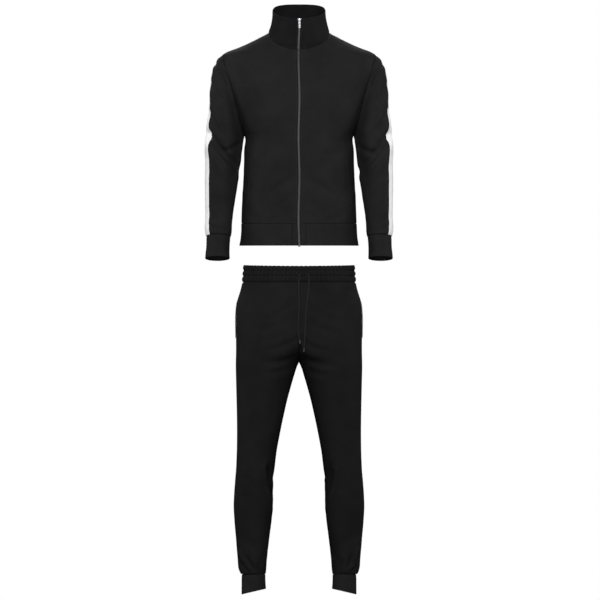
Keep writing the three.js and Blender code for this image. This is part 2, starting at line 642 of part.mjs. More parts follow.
function legPoint(angle, z) {
  const ring = legRing(z);
  const deep = angle < 0 ? ring.mid - ring.front : ring.back - ring.mid;
  const point = oval(angle, ring.square);
  const place = new THREE.Vector3(ring.middle + ring.half * point.across, ring.mid + deep * point.deep, z);
  const calm = clamp01((WAIST.seam - z) / 20) * clamp01((z - ANKLE.seam) / 12) * clamp01((place.x - 4) / 16);
  const lift = folds(LEG_FOLDS, place.x, point.deep, z) * calm;
  place.x += point.across * lift;
  place.y += point.deep * lift;
  return place;
}

const legReach = (z) => {
  const ring = legRing(z);
  return ring.middle >= ring.half ? Math.PI : angleAcross(-ring.middle / ring.half, ring.square);
};

// How far round a column of the trousers lies, out of the side seam: the innermost columns alone turn in to the
// middle plane above the crotch.
function legAngle(away, z) {
  const usual = mix(Math.PI / 2, Math.PI, ease((WAIST.seam - z) / (WAIST.seam - CROTCH)));
  return away * mix(usual, legReach(z), away * away);
}

function trouserPanels() {
  const rows = [ANKLE.seam + SEAM / 2, -1706, -1680, -1645, -1600, -1550, -1500, -1470, -1440, -1400, -1370, -1330,
    -1280, -1220, -1160, -1105, -1065, CROTCH - 5, CROTCH, CROTCH + 5, -1025, -1000, -965, -925, -885, -850, -818,
    WAIST.seam - SEAM / 2];
  for (const [name, side] of SIDES) {
    sew(`trouser_front_${name}`, GREY.trousers, wall({
      at: (s, z) => legPoint(-legAngle(1 - s, z), z), columns: spread(0, 1, 7), rows, thick: KNIT,
    }), side);
    sew(`trouser_back_${name}`, GREY.trousers, wall({
      at: (s, z) => legPoint(legAngle(s, z), z), columns: spread(0, 1, 7), rows, thick: KNIT,
    }), side);
  }
}

// Waistband: one loop round elastic that is stitched down twice, so that it gathers into pleats and three soft lobes.
function waistband() {
  const full = 2 * WAIST.gathers;
  const columns = spread(0, 1, full).slice(0, -1);
  const turn = (s) => -Math.PI / 2 + s * 2 * Math.PI;
  const heights = spread(0, 1, 2 * WAIST.lobes);
  const half = (angle, z) => {
    const ring = level(LEG, z);
    const deep = Math.sin(angle) < 0 ? -ring.front : ring.back;
    const point = oval(angle, ring.square);
    return new THREE.Vector3(ring.outer * point.across, deep * point.deep, 0);
  };
  sew('waistband', GREY.trousers, wall({
    at: (s, rise) => {
      const z = mix(WAIST.seam + SEAM / 2, WAIST.top, rise);
      const dip = WAIST.dip * rise * Math.sin(turn(s)) ** 2;
      return half(turn(s), z).setZ(z - dip);
    },
    extra: (s, rise) => {
      const fold = Math.round(s * full);
      const uneven = 1 + 0.35 * Math.sin(fold * 2.4) + 0.2 * Math.sin(fold * 0.7);
      const lobe = Math.abs(Math.sin(Math.PI * WAIST.lobes * rise));
      const pleat = fold % 2 ? 1 : 0;
      return WAIST.gatherDeep * pleat * uneven * mix(0.55, 1, lobe) + WAIST.lobeDeep * lobe;
    },
    columns, rows: heights, thick: KNIT, inColumns: columns.filter((_, i) => i % 4 === 0), inRows: [0, 1], round: true,
  }));
}

// Side pockets of the trousers: the bound edge of each opening runs down just in front of the side seam.
function trouserPockets() {
  for (const [name, side] of SIDES) {
    sew(`pocket_edge_${name}`, GREY.trousers, wall({
      at: (s, z) => {
        const ring = legRing(z);
        const angle = -POCKET.from - (1 - s) * (POCKET.wide / ring.half);
        const place = legPoint(angle, z);
        const ahead = legPoint(angle + 0.01, z).sub(place);
        const out = ahead.cross(new THREE.Vector3(0, 0, 1)).normalize();
        return place.addScaledVector(out, POCKET.thick + SEAM);
      },
      columns: [0, 1], rows: spread(POCKET.low, POCKET.top, 8), thick: POCKET.thick,
    }), side);
  }
}

// Ankle ribs: the lower edge is a little higher on the inside of the leg.
function ankleRibs() {
  for (const [name, side] of SIDES) {
    sew(`ankle_rib_${name}`, GREY.rib, wall({
      at: (s, z) => {
        const point = legPoint(-Math.PI + s * 2 * Math.PI, Math.min(z, ANKLE.seam - 8 + (z - ANKLE.seam) * 0.5));
        const low = (ANKLE.seam - z) / (ANKLE.seam - ANKLE.end);
        const inner = 0.5 - 0.5 * Math.cos(-Math.PI + s * 2 * Math.PI);
        return point.setZ(z + ANKLE.rise * low * inner * 2);
      },
      columns: spread(0, 1, 20).slice(0, -1), rows: [ANKLE.end, -1765, -1740, ANKLE.seam - SEAM / 2], thick: RIB,
      inRows: [ANKLE.end, ANKLE.seam - SEAM / 2], round: true,
    }), side);
  }
}

// Drawcord: its two ends come out of the waistband, lie down the front and hang free from the fullest place on.
// Each row is a place on the middle of the cord.
const CORD_COLUMNS = ['x', 'y', 'z'];
const CORD_ROUTES = {
  right: table(CORD_COLUMNS, [
    [1.4, -105.6, -763], [0.6, -106.1, -772], [-0.6, -106.4, -783], [-1.1, -107.3, -795], [-0.9, -110, -811],
    [-0.5, -113, -828], [0, -116.3, -850], [0.2, -118.3, -872], [-0.9, -119.3, -894], [-2.4, -119.6, -915],
    [-2.9, -119.6, -932], [-1.6, -119.3, -950], [1.2, -118.9, -968], [1.9, -118.8, -972],
  ]),
  left: table(CORD_COLUMNS, [
    [28.6, -104.9, -763], [30.2, -105.2, -773], [31.4, -105.4, -785], [31.1, -106.8, -797], [29.9, -110.2, -814],
    [27.9, -114, -834], [25, -117.3, -857], [22.2, -119.9, -881], [20.9, -120.8, -905], [20, -121.1, -929],
    [19, -121, -955], [17.4, -120.8, -980], [16.5, -120.7, -995], [16.3, -120.7, -998],
  ]),
};

function roundBar(name, colour, path, width, steps) {
  const section = new THREE.Shape(new THREE.EllipseCurve(0, 0, width / 2, width / 2).getPoints(CORD.sides).slice(1));
  const geometry = new THREE.ExtrudeGeometry(section, { steps, extrudePath: path });
  addPiece(name, colour, geometry, { roughness: 0.8, metalness: 0 });
}

function drawcords() {
  for (const [name, rows] of Object.entries(CORD_ROUTES)) {
    const places = rows.map(({ x, y, z }) => new THREE.Vector3(x, y, z));
    const path = new THREE.CatmullRomCurve3(places);
    roundBar(`drawcord_${name}`, GREY.cord, path, CORD.width, CORD.steps);
    const along = path.getTangent(1);
    const start = places.at(-1).clone().addScaledVector(along, SEAM);
    roundBar(`cord_tip_${name}`, GREY.tip,
      new THREE.LineCurve3(start, start.clone().addScaledVector(along, CORD.tipLong)), CORD.tip, 1);
  }
}

jacketBody();
collar();
sleeves();
jacketPockets();
zip();
slider();
trouserPanels();
waistband();
trouserPockets();
ankleRibs();
drawcords();

export default suit;
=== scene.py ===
import math

import bmesh
import bpy
import numpy as np
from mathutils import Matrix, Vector


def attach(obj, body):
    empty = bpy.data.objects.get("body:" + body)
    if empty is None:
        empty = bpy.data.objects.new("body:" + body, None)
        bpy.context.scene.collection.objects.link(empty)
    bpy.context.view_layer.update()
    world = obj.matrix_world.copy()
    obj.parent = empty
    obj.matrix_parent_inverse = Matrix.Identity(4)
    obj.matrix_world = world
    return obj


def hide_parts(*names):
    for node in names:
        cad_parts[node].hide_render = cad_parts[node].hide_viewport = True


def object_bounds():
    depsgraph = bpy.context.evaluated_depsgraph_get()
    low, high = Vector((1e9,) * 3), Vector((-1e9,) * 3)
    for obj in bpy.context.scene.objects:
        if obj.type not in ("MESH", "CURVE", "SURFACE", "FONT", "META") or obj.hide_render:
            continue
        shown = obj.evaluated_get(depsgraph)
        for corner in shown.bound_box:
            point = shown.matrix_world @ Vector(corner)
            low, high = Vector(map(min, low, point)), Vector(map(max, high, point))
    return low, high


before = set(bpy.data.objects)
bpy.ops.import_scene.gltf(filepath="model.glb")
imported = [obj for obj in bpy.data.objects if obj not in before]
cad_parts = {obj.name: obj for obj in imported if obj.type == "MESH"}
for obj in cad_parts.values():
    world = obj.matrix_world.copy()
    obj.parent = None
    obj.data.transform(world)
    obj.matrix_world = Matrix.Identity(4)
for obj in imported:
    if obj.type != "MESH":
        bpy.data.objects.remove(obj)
cad_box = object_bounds()

# Studio: the suit is seen level from the front, filled out as on an unseen figure, on plain white. A long lens
# keeps every level of it flat, so the camera is orthographic. The floor lies just under the ankles.
VIEW_WIDE = 1.92  # metres across the picture
VIEW_MIDDLE = (0.0032, -0.8448)  # x and z in the middle of the picture
VIEW_AWAY = 6  # metres from the camera to the suit


def in_scene(name, data):
    """A new object in the scene, at the origin."""
    made = bpy.data.objects.new(name, data)
    bpy.context.scene.collection.objects.link(made)
    return made


camera_data = bpy.data.cameras.new("camera")
camera_data.type = "ORTHO"
camera_data.ortho_scale = VIEW_WIDE
camera = in_scene("camera", camera_data)
camera.location = (VIEW_MIDDLE[0], -VIEW_AWAY, VIEW_MIDDLE[1])
camera.rotation_euler = (math.radians(90), 0, 0)
bpy.context.scene.camera = camera


def linear(hex_colour):
    """An sRGB hex colour such as "c8c8cc" as Blender's linear colour."""
    parts = [int(hex_colour[i : i + 2], 16) / 255 for i in (0, 2, 4)]
    return (*[p / 12.92 if p <= 0.04045 else ((p + 0.055) / 1.055) ** 2.4 for p in parts], 1)


def add_node(tree, kind, feeds=None, **settings):
    """Adds a node: settings are its own values, and feeds are values or links for its inputs."""
    node = tree.nodes.new(kind)
    for name, value in settings.items():
        setattr(node, name, value)
    for name, value in (feeds or {}).items():
        if isinstance(value, bpy.types.NodeSocket):
            tree.links.new(value, node.inputs[name])
        else:
            node.inputs[name].default_value = value
    return node


def new_material(name, values):
    """A material, its tree of nodes and its shader, whose inputs have these values."""
    made = bpy.data.materials.new(name)
    made.use_nodes = True
    made.node_tree.nodes.clear()
    shader = add_node(made.node_tree, "ShaderNodeBsdfPrincipled", values)
    add_node(made.node_tree, "ShaderNodeOutputMaterial", {"Surface": shader.outputs[0]})
    return made, made.node_tree, shader


def new_piece(name, points, faces, material):
    """A mesh object at the origin, its faces smooth and of one material."""
    mesh = bpy.data.meshes.new(name)
    mesh.from_pydata([tuple(p) for p in points], [], faces)
    mesh.materials.append(material)
    mesh.polygons.foreach_set("use_smooth", [True] * len(mesh.polygons))
    mesh.update()
    return in_scene(name, mesh)


# The white all round is seen at full strength, but throws only a little light on the suit.
SEEN_WHITE, GIVEN_WHITE = 1.0, 0.06
scene_world = bpy.data.worlds.new("white studio")
bpy.context.scene.world = scene_world
scene_world.use_nodes = True
sky = scene_world.node_tree
sky.nodes.clear()
seen = add_node(sky, "ShaderNodeLightPath").outputs["Is Camera Ray"]
shown, given = (
    add_node(sky, "ShaderNodeBackground", {"Color": linear("ffffff"), "Strength": strength}).outputs[0]
    for strength in (SEEN_WHITE, GIVEN_WHITE)
)
both = add_node(sky, "ShaderNodeMixShader", {0: seen, 1: given, 2: shown})
add_node(sky, "ShaderNodeOutputWorld", {"Surface": both.outputs[0]})
bpy.context.scene.view_settings.view_transform = "Standard"

FLOOR_DROP = 0.002
FLOOR_HALF = 2.1
floor_z = cad_box[0].z - FLOOR_DROP
floor_corners = [(x * FLOOR_HALF, y * FLOOR_HALF, floor_z) for x, y in ((-1, -1), (1, -1), (1, 1), (-1, 1))]
floor_finish = {"Base Color": linear("f4f4f4"), "Roughness": 0.9}
floor_paint, _, _ = new_material("matt white studio paint", floor_finish)
floor = new_piece("floor", floor_corners, [(0, 1, 2, 3)], floor_paint)
floor.visible_diffuse = floor.visible_glossy = False  # it throws no light up into the folds

# Each lamp is a soft box: where it stands, where it points, its width and height, and its power in watts.
LAMPS = {
    "key soft box above the front": ((0, -5.2, 2.3), (0, 0, -0.7), (2.0, 1.1), 265),
    "low front fill soft box": ((0, -4.6, -1.4), (0, 0, -1.3), (1.4, 1.2), 55),
    "side soft box at the left": ((2.6, 0.6, 0.3), (0, 0, -0.8), (0.9, 2.4), 45),
    "side soft box at the right": ((-2.6, 0.6, 0.3), (0, 0, -0.8), (0.9, 2.4), 45),
    "soft box above the back": ((0, 3.4, 2.4), (0, 0, -0.7), (2.4, 1.6), 150),
}
for lamp_name, (place, aim, size, watts) in LAMPS.items():
    lamp_data = bpy.data.lights.new(lamp_name, "AREA")
    lamp_data.shape = "RECTANGLE"
    lamp_data.size, lamp_data.size_y = size
    lamp_data.energy = watts
    lamp = in_scene(lamp_name, lamp_data)
    lamp.location = place
    across, away, up = np.subtract(aim, place)
    tilt, turn = math.atan2(math.hypot(across, away), -up), math.atan2(away, across) - math.pi / 2
    lamp.rotation_euler = (tilt, 0, turn)

# Drawcord: a round braided polyester cord, whose two free ends leave the waistband at the middle of the front
# and hang. Each end is shrunk into a plastic tip. Points are the cord's middle, in metres.
CORD_THICK = 0.0064
CORD_STEP = 0.0009  # from ring to ring of the mesh
CORD_SIDES = 24
OFF_COURSE = (0, 1, 0.02)  # a direction that no cord runs in
CORD_PATHS = {
    "right": [
        (0.0014, -0.1020, -0.7618), (0.0014, -0.1056, -0.7630), (0.0006, -0.1061, -0.7720),
        (-0.0006, -0.1064, -0.7830), (-0.0011, -0.1073, -0.7950), (-0.0009, -0.1100, -0.8110),
        (-0.0005, -0.1130, -0.8280), (0, -0.1163, -0.8500), (0.0002, -0.1183, -0.8720),
        (-0.0009, -0.1193, -0.8940), (-0.0024, -0.1196, -0.9150), (-0.0029, -0.1196, -0.9320),
        (-0.0016, -0.1193, -0.9500), (0.0012, -0.1189, -0.9680), (0.0019, -0.1188, -0.9720),
    ],
    "left": [
        (0.0286, -0.1010, -0.7618), (0.0286, -0.1049, -0.7630), (0.0302, -0.1052, -0.7730),
        (0.0314, -0.1054, -0.7850), (0.0311, -0.1068, -0.7970), (0.0299, -0.1102, -0.8140),
        (0.0279, -0.1140, -0.8340), (0.0250, -0.1173, -0.8570), (0.0222, -0.1199, -0.8810),
        (0.0209, -0.1208, -0.9050), (0.0200, -0.1211, -0.9290), (0.0190, -0.1210, -0.9550),
        (0.0174, -0.1208, -0.9800), (0.0165, -0.1207, -0.9950), (0.0163, -0.1207, -0.9980),
    ],
}
BRAID_STRANDS = 4  # strands that turn each way
BRAID_PITCH = 0.013  # length in which each strand comes to where the next one was
BRAID_HIGH = 0.09  # of the radius
TIP_THICK = 0.0072
TIP_LONG = 0.014
TIP_GAP = 0.0003
TIP_RINGS = 15
TIP_ROUND = 0.0012  # length over which the tip narrows to either end
TIP_NARROW = 0.22  # of the radius


def hermite(points, knots, at, closed=False):
    """Points on a smooth curve through rows of points, at the places wanted along it. Knots are the rows'
    own places."""
    points = np.asarray(points, float)
    knots = np.asarray(knots, float)
    if closed:
        span = knots[-1]
        points = np.concatenate([points[-3:-1], points, points[1:3]])
        knots = np.concatenate([knots[-3:-1] - span, knots, knots[1:3] + span])
    step = np.diff(knots)
    shape = (-1,) + (1,) * (points.ndim - 1)
    chord = np.diff(points, axis=0) / step.reshape(shape)
    slope = np.empty_like(points)
    before, after = step[:-1].reshape(shape), step[1:].reshape(shape)
    slope[1:-1] = (chord[:-1] * after + chord[1:] * before) / (before + after)
    slope[0], slope[-1] = chord[0], chord[-1]
    i = np.clip(np.searchsorted(knots, at, side="right") - 1, 0, len(step) - 1)
    h = step[i].reshape(shape)
    t = ((at - knots[i]) / step[i]).reshape(shape)
    a, b, out_a, in_b = points[i], points[i + 1], slope[i] * h, slope[i + 1] * h
    return a + t * out_a + t**2 * (3 * (b - a) - 2 * out_a - in_b) + t**3 * (2 * (a - b) + out_a + in_b)


def run_lengths(points):
    """The distance along a line of points, or the mean one along rows of points, from the first to each."""
    steps = np.linalg.norm(np.diff(points, axis=0), axis=-1)
    return np.concatenate([[0], np.cumsum(steps if steps.ndim == 1 else steps.mean(axis=1))])


def bar_faces(rings, sides, closed=False):
    """The faces of a bar through rings of points, with one over either end unless it closes on itself."""
    faces = [
        (r * sides + c, r * sides + (c + 1) % sides,
         (r + 1) % rings * sides + (c + 1) % sides, (r + 1) % rings * sides + c)
        for r in range(rings if closed else rings - 1)
        for c in range(sides)
    ]
    if not closed:
        faces += [tuple(reversed(range(sides))), tuple((rings - 1) * sides + c for c in range(sides))]
    return faces


def tube(name, path, radius_at, sides, material):
    """A closed round bar along a path: radius_at gives its radius from the distance along it and the angle
    round it."""
    along = run_lengths(path)
    ahead = np.gradient(path, along, axis=0)
    ahead /= np.linalg.norm(ahead, axis=1)[:, None]
    side = np.cross(ahead, OFF_COURSE)
    side /= np.linalg.norm(side, axis=1)[:, None]
    other = np.cross(ahead, side)
    angle = np.arange(sides) / sides * 2 * math.pi
    radius = radius_at(along[:, None], angle[None, :])
    ring = side[:, None, :] * np.cos(angle)[None, :, None] + other[:, None, :] * np.sin(angle)[None, :, None]
    points = (path[:, None, :] + ring * radius[:, :, None]).reshape(-1, 3)
    return new_piece(name, points, bar_faces(len(path), sides), material)


def grained(name, dark, light, scale, bump, values, detail=3.0, deep=0.0001):
    """A solid colour, a little uneven, with a fine grain. The values are the shader's."""
    made, tree, shader = new_material(name, values)
    spots = add_node(tree, "ShaderNodeTexCoord").outputs["Object"]
    noise = {"Vector": spots, "Scale": scale, "Detail": detail}
    grain = add_node(tree, "ShaderNodeTexNoise", noise).outputs[0]
    ramp = add_node(tree, "ShaderNodeValToRGB", {"Fac": grain})
    ramp.color_ramp.elements[0].color, ramp.color_ramp.elements[1].color = linear(dark), linear(light)
    tree.links.new(ramp.outputs[0], shader.inputs["Base Color"])
    uneven = add_node(tree, "ShaderNodeBump", {"Height": grain, "Strength": bump, "Distance": deep})
    tree.links.new(uneven.outputs[0], shader.inputs["Normal"])
    return made


# Braided polyester: matt yarn, a little uneven in its tone.
braid_finish = {"Roughness": 0.78, "Specular IOR Level": 0.08, "Sheen Weight": 0.01, "Sheen Roughness": 0.45}
braid = grained("black braided polyester cord", "1c1c1d", "29292b", 900.0, 0.5, braid_finish, 2.0, 0.0003)
# Shrunk ABS tip: smooth moulded plastic with a soft shine.
tip_plastic = grained("satin black ABS", "242427", "242427", 1500.0, 0.15, {"Roughness": 0.38}, 2.0)


def braid_radius(along, angle):
    """The cord's radius, highest where a strand that turns one way or the other lies on top."""
    turned = 2 * math.pi / BRAID_PITCH * along
    over = np.maximum(np.cos(BRAID_STRANDS * angle + turned), np.cos(BRAID_STRANDS * angle - turned))
    return CORD_THICK / 2 * (1 - BRAID_HIGH + BRAID_HIGH * over)


def tip_radius(along, angle):
    """The tip's radius, the same all round and rounded off at both ends."""
    end = np.clip(np.minimum(along, TIP_LONG - along) / TIP_ROUND, 0, 1)
    return TIP_THICK / 2 * (1 - TIP_NARROW + TIP_NARROW * np.sqrt(end * (2 - end))) + 0 * angle


def on_suit(piece, nodes):
    """Puts a piece on the suit's body, in place of its solids."""
    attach(piece, "suit")
    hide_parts(*nodes)
    return piece


for side, path in CORD_PATHS.items():
    points = np.array(path)
    knots = run_lengths(points)
    fine = hermite(points, knots, np.linspace(0, knots[-1], int(knots[-1] / CORD_STEP)))
    cord = tube(f"cord_{side}", fine, braid_radius, CORD_SIDES, braid)
    ahead = (fine[-1] - fine[-2]) / np.linalg.norm(fine[-1] - fine[-2])
    tip_path = fine[-1] + ahead * (TIP_GAP + np.linspace(0, TIP_LONG, TIP_RINGS))[:, None]
    tip = tube(f"tip_{side}", tip_path, tip_radius, CORD_SIDES, tip_plastic)
    on_suit(tip, [f"cord_tip_{side}"])
    on_suit(cord, [f"drawcord_{side}"])

# Jacket fronts: two panels of smooth double knit, each with its front edge running down to the hem as a tab,
# sewn to the back, stripe, sleeve, collar and rib and topstitched beside the zip. Every panel here follows its
# own solid, in a finer grid, with its listed creases laid in.
KNIT_THICK = 0.0018
RIB_THICK = 0.0024
COLLAR_THICK = 0.003
CLOTH_STEP = 0.004  # metres between the threads of the grid that carries the form
EDGE_STATIONS = (0, 0.0006, 0.0014, 0.0026, 0.0042)  # closer lines beside a seam or a fold
CLOSE_SHARE = 2.5  # they take up no more than one part in this of a narrow piece
SEAM_SUNK = 0.0009  # how deep a seam draws the cloth in
SEAM_SOFT = 0.0017  # how far beside it the cloth rises again
FAINT_SEAM = 0.25  # of that depth, at a seam that hardly shows
TAB_WIDE, TAB_FADE = 0.0168, 0.004  # no seam shows where the front's foot runs on into its tab
CALM_EDGE = 0.01  # how far from its edges a panel is free of unevenness
EDGE_WIDE = 0.0008  # how far from its edges a panel is rounded off
EDGE_ROUND = 0.3  # of its thickness, which this takes from either side
ALLOWANCE = 0.003  # how far the seam allowance reaches behind the next panel
ALLOWANCE_BACK = 0.0012  # and behind its own
ALLOWANCE_UNDER = (0.0002, 0.0006)  # where its two sides lie under the cloth
SAME_SKIN = math.radians(75)  # past this angle a face belongs to the edge of the wall
SAME_LENGTH = 5e-6
SAME_POINT = 1e-6
MUCH_COARSER = 3  # times fewer faces


def reached(first, beside):
    """All that can be reached from a first one, in the order found. Beside gives the ones next to one."""
    found, front = {first: None}, [first]
    while front:
        for other in beside(front.pop()):
            if other not in found:
                found[other] = None
                front.append(other)
    return found


def skin_faces(bm, facing, thick):
    """The faces of a wall's outer side: of its two sides the larger, or the one that faces the given way.
    Where both sides have the same points, each face of the rim has an edge just as long as the wall is
    thick."""
    rim = {
        face for face in bm.faces
        if thick and any(abs(edge.calc_length() - thick) < SAME_LENGTH for edge in face.edges)
    }
    bend = math.pi if thick else SAME_SKIN

    def beside(face):
        return [other for edge in face.edges if edge.calc_face_angle(math.pi) < bend
                for other in edge.link_faces if other not in rim]

    groups, left = [], [face for face in bm.faces if face not in rim]
    while left:
        groups.append(reached(left[0], beside))
        left = [face for face in left if face not in groups[-1]]

    def worth(group):
        if facing:
            return sum(face.calc_area() * face.normal.dot(facing) for face in group)
        return sum(face.calc_area() for face in group)

    groups.sort(key=worth)
    outer = groups.pop()
    inner = max(groups, key=len)
    if len(inner) * MUCH_COARSER >= len(outer):
        return set(outer)
    # The inner side is much coarser, and its rim ran on smoothly from the outer one: its faces reach the
    # inner side's points.
    inside = {vertex for face in inner for vertex in face.verts}
    return {face for face in outer if not inside.intersection(face.verts)}


def skin_grid(node, facing=None, thick=None):
    """The outer side of a wall as its grid of points, lowest row first, and whether it goes all the way
    round."""
    bm = bmesh.new()
    bm.from_mesh(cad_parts[node].data)
    bmesh.ops.remove_doubles(bm, verts=bm.verts, dist=SAME_POINT)
    bm.faces.ensure_lookup_table()
    kept = skin_faces(bm, facing, thick)
    # Each quad was cut by one diagonal, always the same way, so the triangles' edges come in one order all
    # over.
    first_face = next(face for face in bm.faces if face in kept)
    kinds = {loop.edge: place for place, loop in enumerate(first_face.loops)}
    done, front = {first_face}, [first_face]
    while front:
        for loop in front.pop().loops:
            for other in loop.edge.link_faces:
                if other in kept and other not in done:
                    done.add(other)
                    front.append(other)
                    loops = list(other.loops)
                    start = next(i for i, one in enumerate(loops) if one.edge == loop.edge)
                    for turn in (1, 2):
                        kinds.setdefault(loops[(start + turn) % 3].edge, (kinds[loop.edge] + turn) % 3)
    on_border = {kinds[edge] for edge in kinds if sum(face in kept for face in edge.link_faces) == 1}
    spans = {k: [edge.calc_length() for edge, kind in kinds.items() if kind == k] for k in range(3)}
    inner_kinds = [k for k in range(3) if k not in on_border]
    slanted = max(inner_kinds, key=lambda k: sum(spans[k]) / len(spans[k]))
    climb = {k: sum(abs(edge.verts[0].co.z - edge.verts[1].co.z) for edge, kind in kinds.items() if kind == k)
             / sum(spans[k]) for k in range(3) if k != slanted}
    along, across = sorted(climb, key=lambda k: -climb[k])
    steps = {along: {}, across: {}}
    for edge, kind in kinds.items():
        if kind in steps:
            for a, b in (edge.verts, reversed(edge.verts)):
                steps[kind].setdefault(a, []).append(b)
    ends = [v for v in steps[along] if len(steps[along][v]) == 1]
    closed = all(len(steps[across].get(v, ())) == 2 for v in ends)
    low = min(ends, key=lambda v: v.co.z)
    foot = reached(low, lambda v: steps[across].get(v, ()))
    if closed:
        first = max(foot, key=lambda v: (round(v.co.y, 4), v.co.x))
    else:
        first = min((v for v in foot if len(steps[across][v]) == 1), key=lambda v: (v.co.x, v.co.y))

    def walk(start, kind):
        line = [start, steps[kind][start][0]]
        while True:
            onward = [v for v in steps[kind][line[-1]] if v != line[-2]]
            if not onward or onward[0] == start:
                return line
            line.append(onward[0])

    bottom = walk(first, across)
    grid = np.array([[tuple(v.co) for v in walk(start, along)] for start in bottom]).transpose(1, 0, 2)
    outward = sum((np.array(face.normal) for face in bottom[1].link_faces if face in kept), np.zeros(3))
    if np.cross(grid[0, 1] - grid[0, 0], grid[1, 1] - grid[0, 1]) @ outward < 0:
        grid = np.roll(grid[:, ::-1], 1, axis=1) if closed else grid[:, ::-1]
    if closed:
        grid = np.concatenate([grid, grid[:, :1]], axis=1)
    bm.free()
    return grid, closed


def stations(length, step, close_start, close_end):
    """Places along a length: close together by an edge, up to a share of the length, and a step apart
    elsewhere."""
    close = [d for d in EDGE_STATIONS if d < length / CLOSE_SHARE]
    start = close if close_start else [0]
    end = [length - d for d in close] if close_end else [length]
    count = max(1, round((end[-1] - start[-1]) / step))
    inner = [start[-1] + (end[-1] - start[-1]) * i / count for i in range(1, count)]
    return np.array(start + inner + end[::-1])


def normals_of(points, closed):
    """The outward direction at each point of a grid."""
    across = np.gradient(points, axis=1)
    if closed:
        across[:, 0] = across[:, -1] = (points[:, 1] - points[:, -2]) / 2
    out = np.cross(across, np.gradient(points, axis=0))
    return out / np.maximum(np.linalg.norm(out, axis=2), 1e-12)[:, :, None]


CREASE_STOPS = 15  # places along a crease
CREASE_ENDS = 0.3  # of its depth, which is left at its ends
SIDE_ON = 1.6  # how soon a crease of one side shows in full as the cloth turns to that side
# The cloth beside a crease rises in two banks: how high, how far aside and how wide each is, in the crease's
# own depth and half width.
BANKS = ((0.42, 2.0, 1.25), (0.22, -2.1, 1.3))


def soft_step(values):
    """Values from 0 to 1, held there, with a soft start and end."""
    held = np.clip(values, 0, 1)
    return held * held * (3 - 2 * held)


def crease_lift(points, normals, rows, mirror):
    """How far, in metres, the given creases lift the cloth. A row is a crease in millimetres as seen from
    the front: its two ends, how far its middle bows aside, how deep it is, less than nothing for a ridge,
    half its width, and -1 for the front, 1 for the back or 0 for both."""
    lift = np.zeros(points.shape[:2])
    x, z = points[:, :, 0] * 1000 * mirror, points[:, :, 2] * 1000
    for x1, z1, x2, z2, bow, deep, wide, facing in rows:
        start, run = np.array([x1, z1], float), np.array([x2 - x1, z2 - z1], float)
        aside = np.array([-run[1], run[0]]) / np.hypot(*run)
        halfway = np.hypot(*run) / 26  # a little over half of the way from one stop to the next
        nearest, share, offset = np.full(x.shape, 1e9), np.zeros(x.shape), np.zeros(x.shape)
        for t in np.linspace(0, 1, CREASE_STOPS):
            place = start + run * t + aside * bow * 4 * t * (1 - t)
            heading = run + aside * bow * 4 * (1 - 2 * t)
            heading = heading / np.hypot(*heading)
            dx, dz = x - place[0], z - place[1]
            away = np.hypot(dx, dz)
            near = away < nearest
            off = dx * -heading[1] + dz * heading[0]
            past = np.abs(dx * heading[0] + dz * heading[1])
            past = np.maximum(past - halfway, 0) if 0 < t < 1 else past
            nearest = np.where(near, away, nearest)
            share = np.where(near, t, share)
            offset = np.where(near, np.where(off < 0, -1, 1) * np.hypot(off, past), offset)
        fade = CREASE_ENDS + (1 - CREASE_ENDS) * np.sin(math.pi * (0.08 + 0.84 * share))
        trough = np.exp(-((offset / wide) ** 2))
        banks = sum(
            high * np.exp(-(((offset - far * wide) / (broad * wide)) ** 2)) for high, far, broad in BANKS)
        shown = soft_step(0.5 + facing * normals[:, :, 1] * SIDE_ON) if facing else 1
        lift += deep / 1000 * fade * shown * (banks - trough)
    return lift


WAVES, WAVES_HIGH = 7, 3.2


def soft_noise(points, scale, seed):
    """Slow, smooth unevenness, the same every run: a sum of waves about a scale long, mostly from -1 to 1."""
    waves = np.random.default_rng(seed)
    total = np.zeros(points.shape[:2])
    for _ in range(WAVES):
        direction = waves.normal(size=3)
        direction /= np.linalg.norm(direction)
        length = scale * waves.uniform(0.7, 1.5)
        total += np.sin((points @ direction) * 2 * math.pi / length + waves.uniform(0, 6.3))
    return total / WAVES_HIGH


class Cloth:
    """A panel's outer side as a fine grid, its outward directions and distances over it from its own edges,
    with the solid it follows and which of its edges are seams and folds."""

    def __init__(self, points, closed, normals=None, node=None, seams=(), folds=()):
        self.points, self.closed, self.node, self.seams, self.folds = points, closed, node, seams, folds
        self.normals = normals_of(points, closed) if normals is None else normals
        self.up = np.concatenate([np.zeros((1, points.shape[1])), np.cumsum(
            np.linalg.norm(np.diff(points, axis=0), axis=2), axis=0)])
        self.over = np.concatenate([np.zeros((points.shape[0], 1)), np.cumsum(
            np.linalg.norm(np.diff(points, axis=1), axis=2), axis=1)], axis=1)

    def from_edge(self, edge):
        """Each point's distance from the foot, top, start or end of the panel."""
        return {"foot": self.up, "top": self.up[-1:] - self.up, "start": self.over,
                "end": self.over[:, -1:] - self.over}[edge]

    def line(self, edge, inset, first=0.0, last=1.0, raised=0.0001):
        """A line of points beside an edge, just off the cloth, from a first to a last share of that edge."""
        away = self.from_edge(edge)
        points = self.points + self.normals * raised
        if edge in ("start", "end"):
            away, points = away.T, points.transpose(1, 0, 2)
        found = []
        for column in range(away.shape[1]):
            order = np.argsort(away[:, column])
            found.append([np.interp(inset, away[order, column], points[order, column, i]) for i in range(3)])
        return np.array(found)[int(first * (len(found) - 1)) : int(last * (len(found) - 1)) + 1]


